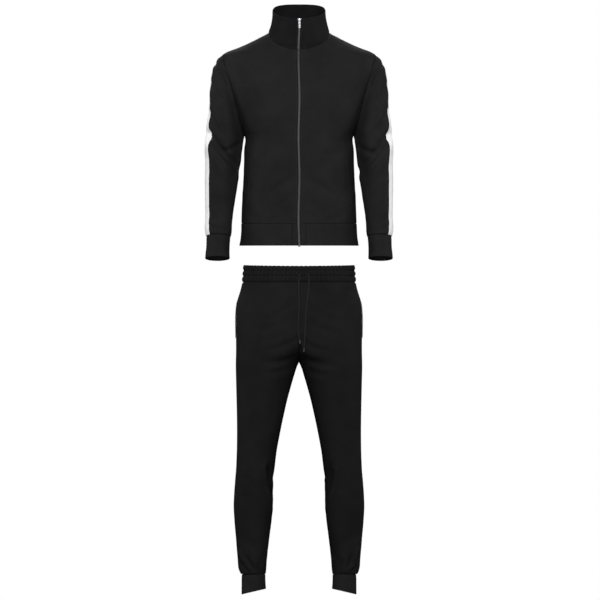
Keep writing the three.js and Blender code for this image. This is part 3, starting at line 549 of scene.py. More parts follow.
def shaped(node, seams, folds=(), rows=(), mirror=1, rough=0.0006, rough_scale=0.14, seed=1,
           step=(CLOTH_STEP, CLOTH_STEP), facing=None, thick=None, smooth_foot=None, faint=()):
    """A panel in its final form: its solid's outer side in a fine grid, with creases, and sunk in along its
    seams, least along the faint ones."""
    grid, closed = skin_grid(node, facing, thick)
    edges = (*seams, *folds)
    up = run_lengths(grid)
    dense = hermite(grid, up, stations(up[-1], step[0], "foot" in edges, "top" in edges))
    turned = dense.transpose(1, 0, 2)
    over = run_lengths(turned)
    places = stations(over[-1], step[1], "start" in edges, "end" in edges)
    dense = hermite(turned, over, places, closed).transpose(1, 0, 2)
    if closed:
        dense[:, -1] = dense[:, 0]
    flat = Cloth(dense, closed)
    calm = np.ones(dense.shape[:2])
    for edge in edges:
        calm *= 1 - np.exp(-((flat.from_edge(edge) / CALM_EDGE) ** 2))
    lift = crease_lift(dense, flat.normals, rows, mirror)
    lift += rough * soft_noise(dense * (mirror, 1, 1), rough_scale, seed) * calm
    for edge in seams:
        sunk = SEAM_SUNK * (FAINT_SEAM if edge in faint else 1) * np.exp(-flat.from_edge(edge) / SEAM_SOFT)
        if edge == "foot" and smooth_foot:
            sunk *= np.clip((flat.from_edge(smooth_foot) - TAB_WIDE) / TAB_FADE, 0, 1)
        lift -= sunk
    points = dense + flat.normals * lift[:, :, None]
    if closed:
        points[:, -1] = points[:, 0]
    return Cloth(points, closed, flat.normals, node, seams, folds)


def turned_edge(sheet, edge, thick, reach):
    """The seam allowance behind an edge: a strip that reaches under the next panel. Its points, faces and
    map places."""
    axis, place = {"foot": (0, 0), "top": (0, -1), "start": (1, 0), "end": (1, -1)}[edge]
    line, normals = (np.take(values, place, axis=axis) for values in (sheet.points, sheet.normals))
    beyond = line - np.take(sheet.points, 1 if place == 0 else -2, axis=axis)
    beyond -= normals * np.sum(beyond * normals, axis=1)[:, None]
    beyond /= np.maximum(np.linalg.norm(beyond, axis=1), 1e-9)[:, None]
    high, low = (thick + under for under in ALLOWANCE_UNDER)
    ring = [(-ALLOWANCE_BACK, high), (reach, high), (reach, low), (-ALLOWANCE_BACK, low)]
    if edge in ("foot", "end"):
        ring.reverse()
    round_it = sheet.closed and axis == 0
    count = len(line) - 1 if round_it else len(line)
    corners = [line + beyond * out - normals * deep for out, deep in ring]
    points = np.stack(corners, axis=1)[:count].reshape(-1, 3)
    faces = bar_faces(count, len(ring), round_it)
    run = run_lengths(line)
    return points, faces, [(run[point // 4], 0.0002 * (point % 4)) for face in faces for point in face]


def sewn(name, sheet, thick, material, laps=(), reach=ALLOWANCE):
    """Makes a panel of the suit in place of its solid: the mesh of its outer and inner sides and edges, with
    a map of distances over the cloth. Laps are the seams whose allowance is this panel's."""
    rows, columns = sheet.points.shape[:2]
    rounded = np.zeros((rows, columns))
    for edge in (*sheet.seams, *sheet.folds):
        rounded = np.maximum(rounded, np.exp(-((sheet.from_edge(edge) / EDGE_WIDE) ** 2)))
    outer = sheet.points - sheet.normals * (EDGE_ROUND * thick * rounded)[:, :, None]
    inner = sheet.points - sheet.normals * (thick * (1 - EDGE_ROUND * rounded))[:, :, None]
    used = columns - 1 if sheet.closed else columns
    points = [outer[:, :used].reshape(-1, 3), inner[:, :used].reshape(-1, 3)]
    outside = np.arange(rows * used).reshape(rows, used)
    if sheet.closed:
        outside = np.concatenate([outside, outside[:, :1]], axis=1)
    inside = outside + rows * used
    faces, marks = [], []

    def add(*corners):
        faces.append(tuple(int(grid[r, c]) for grid, r, c in corners))
        marks.extend((sheet.over[r, c], sheet.up[r, c]) for _, r, c in corners)

    for c in range(columns - 1):
        for r in range(rows - 1):
            add((outside, r, c), (outside, r, c + 1), (outside, r + 1, c + 1), (outside, r + 1, c))
            add((inside, r, c), (inside, r + 1, c), (inside, r + 1, c + 1), (inside, r, c + 1))
        add((outside, 0, c + 1), (outside, 0, c), (inside, 0, c), (inside, 0, c + 1))
        add((outside, -1, c), (outside, -1, c + 1), (inside, -1, c + 1), (inside, -1, c))
    if not sheet.closed:
        for r in range(rows - 1):
            add((outside, r, 0), (outside, r + 1, 0), (inside, r + 1, 0), (inside, r, 0))
            add((outside, r + 1, -1), (outside, r, -1), (inside, r, -1), (inside, r + 1, -1))
    for edge in laps:
        start = sum(len(block) for block in points)
        strip, strip_faces, strip_marks = turned_edge(sheet, edge, thick, reach)
        points.append(strip)
        faces += [tuple(start + corner for corner in face) for face in strip_faces]
        marks += strip_marks
    piece = new_piece(name, np.concatenate(points), faces, material)
    cloth_map = piece.data.uv_layers.new(name="cloth")
    cloth_map.data.foreach_set("uv", np.array(marks, np.float32).ravel())
    return on_suit(piece, [sheet.node])


def maths(tree, operation, first, second=0.0):
    """The result of an operation on one or two values of a material."""
    return add_node(tree, "ShaderNodeMath", {0: first, 1: second}, operation=operation).outputs[0]


WALE, COURSE = 0.0016, 0.00128  # width of an upright row of stitches and height of a level one


def double_knit(name, dark, light, sheen, ribs=0.0):
    """Smooth double knit: fine upright wales crossed by courses, a soft bloom at grazing light, slightly
    uneven dye, and ribs this far apart where it is rib knit."""
    made, tree, shader = new_material(name, {
        "Roughness": 0.82, "Specular IOR Level": 0.03, "Sheen Weight": sheen, "Sheen Roughness": 0.42,
        "Sheen Tint": linear("e8e8ee")})
    place = add_node(tree, "ShaderNodeUVMap", uv_map="cloth").outputs["UV"]
    over, up, _ = add_node(tree, "ShaderNodeSeparateXYZ", {"Vector": place}).outputs
    spots = add_node(tree, "ShaderNodeTexCoord").outputs["Object"]
    dye, fibre = (
        add_node(tree, "ShaderNodeTexNoise", {"Vector": spots, "Scale": scale, **more}).outputs[0]
        for scale, more in ((9.0, {"Detail": 4.0, "Roughness": 0.6}), (850.0, {"Detail": 2.0}))
    )
    tone = maths(tree, "ADD", dye, maths(tree, "MULTIPLY", fibre, 0.45))
    ramp = add_node(tree, "ShaderNodeValToRGB", {"Fac": tone})
    for end, position, colour in zip(ramp.color_ramp.elements, (0.5, 0.95), (dark, light)):
        end.position, end.color = position, linear(colour)
    tree.links.new(ramp.outputs[0], shader.inputs["Base Color"])
    wales = maths(tree, "SINE", maths(tree, "MULTIPLY", over, math.pi / WALE))
    courses = maths(tree, "SINE", maths(tree, "MULTIPLY", up, math.pi / COURSE))
    high = maths(tree, "ADD", maths(tree, "MULTIPLY", wales, courses), fibre)
    bump = add_node(tree, "ShaderNodeBump", {"Height": high, "Strength": 0.35, "Distance": 0.00025})
    if ribs:
        rib = maths(tree, "SINE", maths(tree, "MULTIPLY", over, 2 * math.pi / ribs))
        bump = add_node(tree, "ShaderNodeBump", {
            "Height": rib, "Strength": 0.4, "Distance": 0.0004, "Normal": bump.outputs[0]})
    tree.links.new(bump.outputs[0], shader.inputs["Normal"])
    return made


SIDES = {"left": 1, "right": -1}
# Which edge of a front panel lies toward the middle of the suit and which away from it. At the back it is
# the other way round.
INWARD = {"left": "start", "right": "end"}
OUTWARD = {"left": "end", "right": "start"}
FRONTWARDS = Vector((0, -1, 0))
ALL_ROUND = ("foot", "top", "start", "end")
jacket_knit = double_knit("black polyester double knit", "1e1e1f", "262627", 0.004)
FRONT_CREASES = {
    "left": [
        (30, -458, 108, -502, -2, 3.6, 11, -1), (24, -512, 80, -560, -2, 2.6, 11, -1),
        (46, -540, 92, -590, 3, 2.8, 8, -1), (158, -352, 96, -398, -6, 2.1, 17, -1),
        (40, -66, 120, -120, 8, 1.7, 20, -1), (60, -176, 150, -186, 6, 1.5, 18, -1),
        (150, -552, 112, -590, 4, 1.9, 12, -1), (30, -572, 70, -590, 3, 1.3, 10, -1),
        (118, -250, 60, -300, -6, 1.3, 18, -1), (150, -322, 112, -340, 4, 2.3, 13, -1),
        (196, -238, 173, -316, 2, -2.2, 7, 0), (196, -150, 160, -306, 2, -4.5, 15, -1),
        (12, -41, 44, -38, -1, 3.4, 4, -1), (8, -60, 30, -44, 1, 1.6, 9, -1),
        (178, -470, 140, -500, 4, 1.7, 14, 0),
    ],
    "right": [
        (26, -452, 90, -500, -2, 4.0, 11, -1), (20, -510, 84, -562, -2, 3.0, 11, -1),
        (40, -548, 86, -592, 3, 3.0, 8, -1), (152, -346, 104, -408, -7, 2.3, 16, -1),
        (36, -72, 112, -112, 8, 1.5, 20, -1), (50, -172, 156, -182, 7, 1.9, 17, -1),
        (156, -560, 124, -592, 4, 1.7, 12, -1), (24, -560, 60, -592, 3, 1.5, 10, -1),
        (108, -262, 52, -312, -6, 1.1, 18, -1), (148, -318, 114, -338, 4, 2.5, 12, -1),
        (196, -238, 173, -316, 2, -2.2, 7, 0), (196, -148, 160, -304, 2, -4.5, 15, -1),
        (12, -42, 38, -39, -1, 3.4, 4, -1), (8, -62, 26, -46, 1, 1.6, 9, -1),
        (178, -455, 146, -496, 5, 1.9, 14, 0),
    ],
}
fronts, tabs = {}, {}
for side, mirror in SIDES.items():
    zip_edge, far_edge = INWARD[side], OUTWARD[side]
    front = shaped(f"jacket_front_{side}", ("foot", "top", far_edge), (zip_edge,), FRONT_CREASES[side],
                   mirror, 0.0007, 0.16, 3, thick=KNIT_THICK, smooth_foot=zip_edge, faint=("top",))
    front_panel = sewn(f"front_{side}", front, KNIT_THICK, jacket_knit)
    tab = shaped(f"hem_tab_{side}", (far_edge,), (zip_edge, "foot"), step=(0.004, 0.003), facing=FRONTWARDS)
    tab_panel = sewn(f"front_tab_{side}", tab, RIB_THICK, jacket_knit)
    fronts[side], tabs[side] = front, tab

# Back: one panel of the same double knit from the collar to the hem rib.
BACK_CREASES = [
    (-150, -120, -40, -170, 8, 2.3, 18, 1), (148, -128, 46, -166, -8, 2.0, 19, 1),
    (-60, -40, 50, -46, 6, 1.6, 16, 1), (-152, -324, -100, -356, 5, 2.9, 14, 1),
    (150, -320, 96, -350, -5, 3.2, 13, 1), (-196, -238, -173, -316, -2, -2.6, 7, 0),
    (196, -238, 173, -316, 2, -2.6, 7, 0), (-120, -500, -60, -560, 5, 2.9, 15, 1),
    (104, -520, 52, -566, -5, 2.5, 16, 1), (-20, -548, 30, -588, 4, 1.8, 14, 1),
    (-158, -430, -90, -446, 6, 2.0, 17, 1), (156, -440, 96, -474, -6, 1.8, 17, 1),
    (-10, -300, 60, -330, 6, 1.3, 20, 1),
]
back = shaped("jacket_back", ALL_ROUND, (), BACK_CREASES, 1, 0.0008, 0.17, 5, thick=KNIT_THICK)
back_panel = sewn("back", back, KNIT_THICK, jacket_knit, ("start", "end"))

# Shoulder stripes and sleeves: an off-white strip of the same knit runs over each shoulder seam and on down
# the sleeve, between its front and back panels. The sleeve hangs with its slack caught in folds at the
# elbow.
stripe_knit = double_knit("off-white polyester double knit", "e8e8ea", "f0f0f1", 0.04)
SLEEVE_ALLOWANCE = 0.012  # deeper than elsewhere, because the armhole's seam opens under the arm
SLEEVE_CREASES = {
    "right": [
        (282, -312, 199, -418, 10, 13, 11, -1), (281, -346, 214, -446, 6, 5, 9, -1),
        (282, -244, 250, -312, 5, 6.5, 8, -1), (276, -150, 254, -204, 3, 5.5, 8, -1),
        (266, -90, 226, -150, -4, 9, 7, -1),
        (192, -344, 238, -366, -4, 5.5, 8, -1),
        (196, -238, 174, -316, 2, -2.4, 7, 0),
        (276, -430, 232, -476, 5, 2.9, 13, -1), (262, -520, 224, -560, 4, 2.2, 13, -1),
        (284, -566, 240, -600, 4, 2.6, 11, 0), (286, -606, 232, -620, 3, 2.9, 7, 0),
        (286, -330, 200, -388, 6, 5.3, 13, 1), (284, -290, 214, -330, 5, 3.5, 13, 1),
        (280, -440, 216, -470, 5, 3.1, 14, 1), (250, -100, 210, -190, 5, 4.0, 15, 1),
    ],
    "left": [
        (283, -318, 201, -425, 9, 12, 11, -1), (282, -354, 218, -452, 7, 5, 9, -1),
        (282, -238, 251, -304, 5, 6, 8, -1), (276, -156, 252, -212, 3, 5.5, 8, -1),
        (264, -92, 227, -148, -4, 9, 7, -1),
        (192, -352, 240, -374, -4, 5.5, 8, -1),
        (196, -238, 174, -316, 2, -2.4, 7, 0),
        (278, -418, 236, -462, 5, 2.4, 13, -1), (266, -534, 226, -568, 4, 2.6, 12, -1),
        (284, -574, 244, -604, 4, 2.2, 11, 0), (286, -610, 230, -622, 3, 3.1, 7, 0),
        (286, -324, 204, -372, 6, 4.8, 13, 1), (284, -282, 220, -316, 5, 3.1, 14, 1),
        (280, -452, 214, -492, 5, 3.3, 14, 1), (250, -96, 214, -182, 5, 3.5, 15, 1),
    ],
}
# The inner part of each sleeve lies back in the shade of the body. For heights in millimetres: how far from
# the middle of the suit it lies furthest back, and by how much.
INNER_HEIGHTS = (-540, -470, -400, -340, -300, -240, -200, -150, -100)
INNER_LINE = (214, 204, 194, 184, 178, 194, 206, 220, 234)
INNER_BACK = (0, 13, 27, 31, 30, 26, 19, 10, 0)
INNER_WIDE = 25  # how far to either side of that line it fades
INNER_DEPTH = 0.04  # metres in front of the middle plane, where it lies back in full


def laid_back(points, mirror):
    """How far back each point of a sleeve lies for this, in metres: nothing on its back."""
    heights = points[:, :, 2] * 1000
    line, back_by = (np.interp(heights, INNER_HEIGHTS, values) for values in (INNER_LINE, INNER_BACK))
    aside = (points[:, :, 0] * 1000 * mirror - line) / INNER_WIDE
    in_front = soft_step((INNER_DEPTH - points[:, :, 1]) / (2 * INNER_DEPTH))
    return back_by / 1000 * np.exp(-(aside**2)) * in_front


sleeves = {}
for side, mirror in SIDES.items():
    stripe = shaped(f"shoulder_stripe_{side}", ALL_ROUND, (), (), mirror, 0.0003, 0.14, 7, (0.004, 0.003),
                    thick=KNIT_THICK)
    over_shoulder = sewn(f"shoulder_{side}", stripe, KNIT_THICK, stripe_knit,
                         ("foot", INWARD[side]))
    stripe = shaped(f"sleeve_stripe_{side}", ALL_ROUND, (), SLEEVE_CREASES[side], mirror, 0.0007, 0.13, 7)
    down_sleeve = sewn(f"sleeve_stripe_{side}_knit", stripe, KNIT_THICK, stripe_knit,
                       ("start", "end"))
    for part, flat, area, laps in (
        ("front", (0.32, 0.6), 0.072, ("top", INWARD[side])), ("back", (0.28, 0.586), 0.073, ())
    ):
        sleeve = shaped(f"sleeve_{part}_{side}", ALL_ROUND, (), SLEEVE_CREASES[side], mirror, 0.0007, 0.13, 7)
        sleeve.points[:, :, 1] += laid_back(sleeve.points, mirror)
        panel = sewn(f"sleeve_{part}_{side}_knit", sleeve, KNIT_THICK, jacket_knit, laps,
                     SLEEVE_ALLOWANCE)
        sleeves[part, side] = sleeve

# Collar: a doubled stand of the same knit, soft enough to lean, folded along its top and sewn on round the
# neck. Its knit is painted darker than the body's, as painted shade for a stand that rises steeply in its own
# shade.
COLLAR_CREASES = [
    (-66, 6, -52, 54, 2, 2.6, 9, 0), (68, 2, 56, 54, -2, 2.8, 9, 0), (14, -38, 26, 22, 3, 2.6, 6, -1),
    (-84, -30, -10, -37, 1, 2.6, 6, -1), (10, -37, 84, -30, 1, 2.8, 6, -1), (-16, -30, -9, 40, 1, 2.4, 5, -1),
    (-20, 60, -10, 92, 2, 2.0, 12, 1), (40, 58, 34, 90, 2, 1.8, 12, 1),
]
# Painted shade: the collar's copy of the body's knit is given darker colours than the body's.
collar_knit_painted_shade = double_knit("black polyester double knit, collar, painted shade", "151516", "1c1c1d", 0.003)
collar = shaped("collar", ("foot",), ("top", "start", "end"), COLLAR_CREASES, 1, 0.0008, 0.09, 9,
                (0.003, 0.003), faint=("foot",))
collar_panel = sewn("collar_stand", collar, COLLAR_THICK, collar_knit_painted_shade, ("foot",))

# Hem rib and cuffs: doubled bands of fine rib knit, stretched to the cloth as they are sewn, so that they
# draw it in.
rib_knit = double_knit("black doubled rib knit", "1e1e1f", "272728", 0.005, ribs=0.0028)
hem = shaped("hem_rib", ("top", "start", "end"), ("foot",), (), 1, 0.0009, 0.11, 11, (0.004, 0.006))
hem_band = sewn("hem_band", hem, RIB_THICK, rib_knit, ("top", "start", "end"))
CUFF_CREASES = {
    "right": [(230, -654, 226, -700, 1, 1.6, 6, -1), (262, -650, 256, -690, 1, 0.8, 8, -1)],
    "left": [(229, -652, 227, -704, 1, 1.3, 6, -1), (266, -652, 262, -694, 1, 0.9, 8, -1)],
}
for side, mirror in SIDES.items():
    cuff = shaped(f"cuff_{side}", ("top",), ("foot",), CUFF_CREASES[side], mirror, 0.0006, 0.07, 13,
                  (0.004, 0.005))
    band = sewn(f"cuff_band_{side}", cuff, RIB_THICK, rib_knit, ("top",))

# Zip: moulded plastic teeth that mesh one by one, on a woven tape sewn behind the front edges. It is closed
# up to the slider, a zinc casting whose pull tab hangs from a bridge. A small box joins the two sides at the
# hem.
TAPE_THICK, TAPE_STEP = 0.001, 0.008
TOOTH_PITCH = 0.0025
TOOTH_SIZE = (0.00122, 0.0015, 0.0031)
TOOTH_ROUND = 0.00024
TOOTH_BACK = 0.00075  # how far behind the front of the solid's bar the middle of a tooth lies
TOOTH_ASIDE = 0.00018  # and how far toward the teeth that it meshes with
CHAIN_POINTS = 300
beads = bpy.data.node_groups.new("beads along lines", "GeometryNodeTree")
bead_inputs = {
    label: beads.interface.new_socket(label, in_out="INPUT", socket_type=kind).identifier
    for label, kind in (
        ("Lines", "NodeSocketGeometry"), ("Bead", "NodeSocketObject"), ("Pitch", "NodeSocketFloat"),
        ("Finish", "NodeSocketMaterial"))
}
beads.interface.new_socket("Beads", in_out="OUTPUT", socket_type="NodeSocketGeometry")
given = add_node(beads, "NodeGroupInput")
bead_curves = add_node(beads, "GeometryNodeMeshToCurve", {"Mesh": given.outputs["Lines"]})
spaced = add_node(beads, "GeometryNodeResampleCurve", {
    "Curve": bead_curves.outputs[0], "Length": given.outputs["Pitch"]}, mode="LENGTH")
heading = add_node(beads, "GeometryNodeInputTangent")
aim = add_node(beads, "FunctionNodeAlignRotationToVector", {"Vector": heading.outputs[0]}, axis="X")
one_bead = add_node(beads, "GeometryNodeObjectInfo", {"Object": given.outputs["Bead"]})
placed = add_node(beads, "GeometryNodeInstanceOnPoints", {
    "Points": spaced.outputs[0], "Instance": one_bead.outputs["Geometry"], "Rotation": aim.outputs[0]})
real = add_node(beads, "GeometryNodeRealizeInstances", {"Geometry": placed.outputs[0]})
painted = add_node(beads, "GeometryNodeSetMaterial", {
    "Geometry": real.outputs[0], "Material": given.outputs["Finish"]})
add_node(beads, "NodeGroupOutput", {"Beads": painted.outputs[0]})


def beads_along(name, lines, bead, pitch, material):
    """Copies of a bead, a pitch apart along each line of points, its x axis along the line, as one mesh."""
    edges, start = [], 0
    for line in lines:
        edges += [(start + i, start + i + 1) for i in range(len(line) - 1)]
        start += len(line)
    mesh = bpy.data.meshes.new(name)
    mesh.from_pydata([tuple(point) for line in lines for point in line], edges, [])
    piece = in_scene(name, mesh)
    modifier = piece.modifiers.new("beads", "NODES")
    modifier.node_group = beads
    for label, value in (("Bead", bead), ("Pitch", pitch), ("Finish", material)):
        modifier[bead_inputs[label]] = value
    made = bpy.data.meshes.new_from_object(piece.evaluated_get(bpy.context.evaluated_depsgraph_get()))
    piece.modifiers.clear()
    piece.data = made
    bpy.data.meshes.remove(mesh)
    made.polygons.foreach_set("use_smooth", [True] * len(made.polygons))
    return piece


def bead_of(name, size, rounded=0.0):
    """A bead to copy: an egg of a size, or a block with rounded edges."""
    bm = bmesh.new()
    if rounded:
        bmesh.ops.create_cube(bm, size=1)
    else:
        bmesh.ops.create_icosphere(bm, subdivisions=1, radius=0.5)
    bmesh.ops.scale(bm, vec=size, verts=bm.verts)
    if rounded:
        bmesh.ops.bevel(bm, geom=bm.edges[:], offset=rounded, segments=2, affect="EDGES", profile=0.5)
    mesh = bpy.data.meshes.new(name)
    bm.to_mesh(mesh)
    return in_scene(name, mesh)


def eased(node, name, width, material):
    """A copy of a solid with its sharp edges eased."""
    bm = bmesh.new()
    bm.from_mesh(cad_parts[node].data)
    bmesh.ops.remove_doubles(bm, verts=bm.verts, dist=2e-6)
    bmesh.ops.dissolve_limit(bm, angle_limit=math.radians(1), verts=bm.verts, edges=bm.edges)
    sharp = [edge for edge in bm.edges if edge.calc_face_angle(0) > math.radians(35)]
    bmesh.ops.bevel(bm, geom=sharp, offset=width, segments=2, affect="EDGES", profile=0.5, clamp_overlap=True)
    mesh = bpy.data.meshes.new(name)
    for face in bm.faces:
        face.smooth = True
    for edge in bm.edges:
        edge.smooth = edge.calc_face_angle(0) < math.radians(40)
    bm.to_mesh(mesh)
    bm.free()
    mesh.materials.append(material)
    return in_scene(name, mesh)


# Woven tape: matt and dark. Teeth: moulded, satin, a mid grey that catches light. Slider: satin plated zinc.
tape_weave = grained("black woven polyester tape", "131315", "1d1d20", 1800.0, 0.4, {"Roughness": 0.85})
tooth_plastic = grained("satin grey moulded plastic", "58585c", "646468", 700.0, 0.1, {"Roughness": 0.36})
plated_zinc = grained("satin plated zinc", "9a9a9e", "acacb0", 500.0, 0.08, {"Metallic": 1, "Roughness": 0.3})

tooth = bead_of("tooth", TOOTH_SIZE, TOOTH_ROUND)
for side, mirror in SIDES.items():
    tape_grid, _ = skin_grid(f"zip_tape_{side}", FRONTWARDS)
    tape_run = run_lengths(tape_grid)
    tape_points = hermite(tape_grid, tape_run, stations(tape_run[-1], TAPE_STEP, False, False))
    tape = Cloth(tape_points, False, node=f"zip_tape_{side}")
    sewn(f"tape_{side}", tape, TAPE_THICK, tape_weave)
    chain_grid, _ = skin_grid(f"zip_chain_{side}", FRONTWARDS)
    run = run_lengths(chain_grid)
    first = TOOTH_PITCH / 2 if side == "right" else 0  # its teeth stand between those of the left side
    line = hermite(chain_grid.mean(axis=1), run, np.linspace(first, run[-1], CHAIN_POINTS))
    line += (-mirror * TOOTH_ASIDE, TOOTH_BACK, 0)
    teeth = beads_along(f"teeth_{side}", [line], tooth, TOOTH_PITCH, tooth_plastic)
    on_suit(teeth, [f"zip_chain_{side}"])
bpy.data.objects.remove(tooth)
on_suit(eased("zip_box", "joining_box", 0.0004, tooth_plastic), ["zip_box"])
on_suit(eased("zip_slider", "slider", 0.0003, plated_zinc), ["zip_slider"])
pull = eased("zip_pull_tab", "pull_tab", 0.00025, plated_zinc)
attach(pull, "zip_pull")
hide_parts("zip_pull_tab")

# Jacket pockets: each opening is edged by a narrow welt, set in on a slant.
WELT_THICK = 0.0013
welts = {}
for side, mirror in SIDES.items():
    welt = shaped(f"pocket_welt_{side}", (), ALL_ROUND, (), mirror, 0.0002, 0.06, 15, (0.004, 0.0016),
                  FRONTWARDS)
    strip = sewn(f"welt_{side}", welt, WELT_THICK, jacket_knit)
    welts[side] = welt

# Trousers: each leg is a front and a back panel, sewn at the outer and inner seams and to the other leg from
# the waistband to the crotch. The cloth falls straight, catches at the knee and settles in folds above the
# ankle rib.
trouser_knit = double_knit("black polyester double knit, trousers", "19191a", "1f1f20", 0.004)
LEG_CREASES = {
    "right": [
        (75, -809, 90, -830, 2, 3.7, 7, -1), (24, -800, 34, -828, 2, 2.0, 7, -1),
        (140, -800, 150, -826, 2, 1.9, 8, -1), (96, -907, 19, -851, 6, 3.2, 10, -1),
        (118, -940, 40, -900, 7, 2.6, 12, -1), (96, -1004, 4, -966, 6, 3.0, 9, -1),
        (110, -1048, 4, -1020, 8, 3.6, 10, -1), (96, -1076, 18, -1052, 6, 3.0, 10, -1),
        (150, -1090, 128, -1260, 5, 1.7, 20, -1), (60, -1120, 96, -1240, -5, 1.4, 18, -1),
        (112, -1376, 86, -1486, 4, -5.5, 6, -1), (100, -1392, 70, -1500, 4, 6.5, 10, -1),
        (96, -1374, 84, -1424, 2, 4.2, 6, -1), (176, -1410, 130, -1440, 4, 1.7, 14, -1),
        (190, -1651, 176, -1683, 2, -4.0, 6, -1), (165, -1673, 136, -1712, 3, 5.4, 7, -1),
        (129, -1694, 118, -1719, 2, 4.2, 6, -1), (182, -1690, 160, -1714, 2, 3.4, 6, 0),
        (180, -1600, 130, -1640, 5, 1.9, 14, 0), (104, -1650, 128, -1690, -3, 2.0, 10, -1),
        (60, -840, 150, -870, 6, 2.0, 17, 1), (24, -1000, 110, -1052, -8, 3.1, 15, 1),
        (40, -1062, 120, -1096, -6, 2.4, 15, 1), (182, -1388, 92, -1410, 6, 3.4, 14, 1),
        (180, -1430, 96, -1462, 6, 2.9, 14, 1), (176, -1660, 116, -1690, 4, 3.1, 11, 1),
        (170, -1700, 124, -1716, 3, 2.4, 8, 1),
    ],
    "left": [
        (81, -802, 95, -830, 2, 3.4, 7, -1), (153, -809, 163, -820, 2, 2.5, 6, -1),
        (30, -802, 44, -826, 2, 1.7, 8, -1), (104, -912, 26, -856, 6, 3.0, 10, -1),
        (124, -952, 50, -910, 7, 2.4, 12, -1), (90, -1008, 6, -972, 6, 2.8, 9, -1),
        (116, -1054, 6, -1026, 8, 3.4, 10, -1), (90, -1084, 20, -1060, 6, 2.8, 10, -1),
        (156, -1100, 134, -1280, 5, 1.5, 20, -1), (66, -1130, 92, -1250, -5, 1.5, 18, -1),
        (118, -1384, 92, -1482, 4, -5.0, 6, -1), (105, -1396, 76, -1492, 4, 6.0, 10, -1),
        (98, -1366, 86, -1410, 2, 3.6, 6, -1), (178, -1420, 136, -1446, 4, 1.5, 14, -1),
        (188, -1640, 178, -1676, 2, -3.6, 6, -1), (166, -1669, 156, -1700, 3, 4.8, 7, -1),
        (136, -1680, 122, -1714, 2, 4.0, 7, -1), (184, -1696, 166, -1716, 2, 3.2, 6, 0),
        (178, -1590, 134, -1626, 5, 1.7, 14, 0), (106, -1644, 126, -1680, -3, 1.9, 10, -1),
        (66, -846, 146, -872, 6, 1.9, 17, 1), (22, -1006, 106, -1060, -8, 2.7, 15, 1),
        (36, -1070, 116, -1100, -6, 2.5, 15, 1), (182, -1394, 96, -1420, 6, 3.1, 14, 1),
        (180, -1438, 100, -1466, 6, 3.1, 14, 1), (176, -1652, 118, -1684, 4, 2.7, 11, 1),
        (170, -1698, 126, -1714, 3, 2.5, 8, 1),
    ],
}
legs = {}
for side, mirror in SIDES.items():
    for part, flat, area in (("front", (0.328, 1.015), 0.223), ("back", (0.341, 1.028), 0.227)):
        leg = shaped(f"trouser_{part}_{side}", ALL_ROUND, (), LEG_CREASES[side], mirror, 0.0008, 0.17, 17)
        # The allowance of the outer seam is the front's, and that down the middle is one leg's.
        laps = (OUTWARD[side],) if part == "front" else ()
        if (part, side) in (("front", "left"), ("back", "right")):
            laps += ("start",)
        panel = sewn(f"leg_{part}_{side}", leg, KNIT_THICK, trouser_knit, laps)
        legs[part, side] = leg

# Side pockets of the trousers: the bound edge of each opening runs down just in front of the outer seam.
BINDING_THICK = 0.0012
bindings = {}
for side, mirror in SIDES.items():
    edge = shaped(f"pocket_edge_{side}", (), ALL_ROUND, (), mirror, 0.0003, 0.08, 19, (0.005, 0.0016),
                  Vector((mirror, 0, 0)))
    binding = sewn(f"pocket_binding_{side}", edge, BINDING_THICK, trouser_knit)
    bindings[side] = edge

# Waistband: the top of the trousers is folded over an elastic and stitched through twice, so that it gathers
# in three channels all the way round, in broad rounded crests with a narrow, deep valley between each two.
STITCHED_ROWS = (1 / 3, 2 / 3)  # of the band's height
STITCHED_WIDE, STITCHED_DEEP = 0.05, 0.0014
CREST_HIGH, VALLEY_DEEP = 0.0012, 0.0046
VALLEY_FILLED = 0.3  # of that depth, where the rows of stitches pull the valleys flat
EVENED = 8  # columns of the ring over which its mean line is taken
FULL_CREST = 62  # percent of the ring that lies nearer to its mean line than a full crest or valley
waist = shaped("waistband", ("foot",), ("top",), (), 1, 0.0004, 0.05, 21, (0.0022, 0.0017))
ring = waist.points[:, :-1]
evened = sum(np.roll(ring, shift, axis=1) for shift in range(-EVENED // 2, EVENED // 2)) / EVENED
share = waist.up[:, :1] / waist.up[-1, 0]
channels = sum(np.exp(-(((share - row) / STITCHED_WIDE) ** 2)) for row in STITCHED_ROWS)
apart = np.sum((ring - evened) * waist.normals[:, :-1], axis=2)
crest = np.clip(apart / np.percentile(np.abs(apart), FULL_CREST), -1, 1)
valley = VALLEY_DEEP * ((1 - crest) / 2) ** 3 * (1 - VALLEY_FILLED * channels)
apart = CREST_HIGH - valley - STITCHED_DEEP * channels
drawn = evened + waist.normals[:, :-1] * apart[:, :, None]
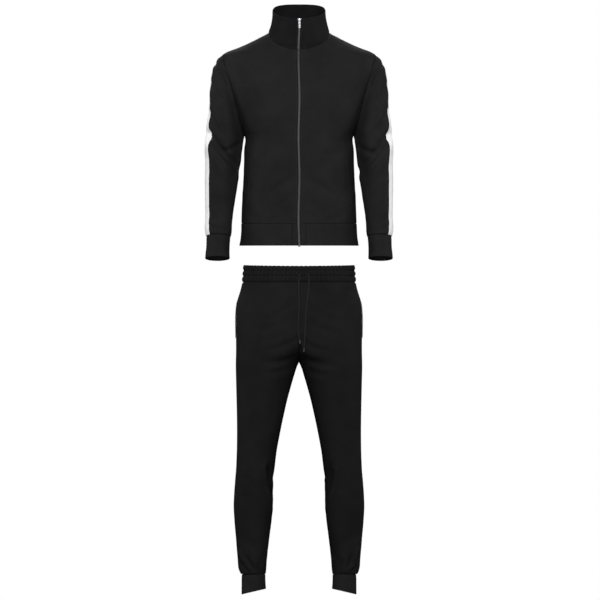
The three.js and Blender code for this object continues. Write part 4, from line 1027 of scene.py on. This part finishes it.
drawn = np.concatenate([drawn, drawn[:, :1]], axis=1)
waist = Cloth(drawn, True, waist.normals, waist.node, waist.seams, waist.folds)
band = sewn("waistband_casing", waist, KNIT_THICK, trouser_knit, ("foot",))

# Ankle ribs: doubled bands of the same fine rib as the cuffs.
for side, mirror in SIDES.items():
    ankle = shaped(f"ankle_rib_{side}", ("top",), ("foot",), (), mirror, 0.0007, 0.08, 23, (0.004, 0.005))
    band = sewn(f"ankle_band_{side}", ankle, RIB_THICK, rib_knit, ("top",))

# Sewing: lockstitch in black polyester thread, 3 mm long, beside the zip and the collar, above the hem,
# round the armholes, along the stripes and the pockets, down the trousers' front seam and twice round the
# waistband.
STITCH_PITCH = 0.003
STITCH_SIZE = (0.0025, 0.00055, 0.00055)
thread = grained("black spun polyester thread", "1c1c1f", "2b2b2f", 2500.0, 0.3, {"Roughness": 0.6})
stitch = bead_of("stitch", STITCH_SIZE)
# Each line runs beside an edge: how far from it, in metres, and from which share of the edge.
jacket_lines = [
    back.line("foot", 0.0032), back.line("start", 0.0028, 0.46), back.line("end", 0.0028, 0.46),
    collar.line("foot", 0.0028), collar.line("start", 0.004), collar.line("end", 0.004),
]
trouser_lines = [
    waist.line("foot", 0.018), waist.line("foot", 0.0365), legs["front", "left"].line("start", 0.0022, 0.77),
]
for side in SIDES:
    near, far = INWARD[side], OUTWARD[side]
    jacket_lines += [
        fronts[side].line(near, 0.005), tabs[side].line(near, 0.005), fronts[side].line(far, 0.0028, 0.46),
        fronts[side].line("foot", 0.0032), sleeves["front", side].line(far, 0.0022),
        sleeves["back", side].line(near, 0.0022), welts[side].line("start", 0.0012),
        welts[side].line("end", 0.0012),
    ]
    trouser_lines.append(bindings[side].line(far, 0.0012))
for name, lines, slot in (
    ("stitches_jacket", jacket_lines, "jacket_knit"), ("stitches_trousers", trouser_lines, "trouser_knit")
):
    sewing = beads_along(name, lines, stitch, STITCH_PITCH, thread)
    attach(sewing, "suit")
bpy.data.objects.remove(stitch)
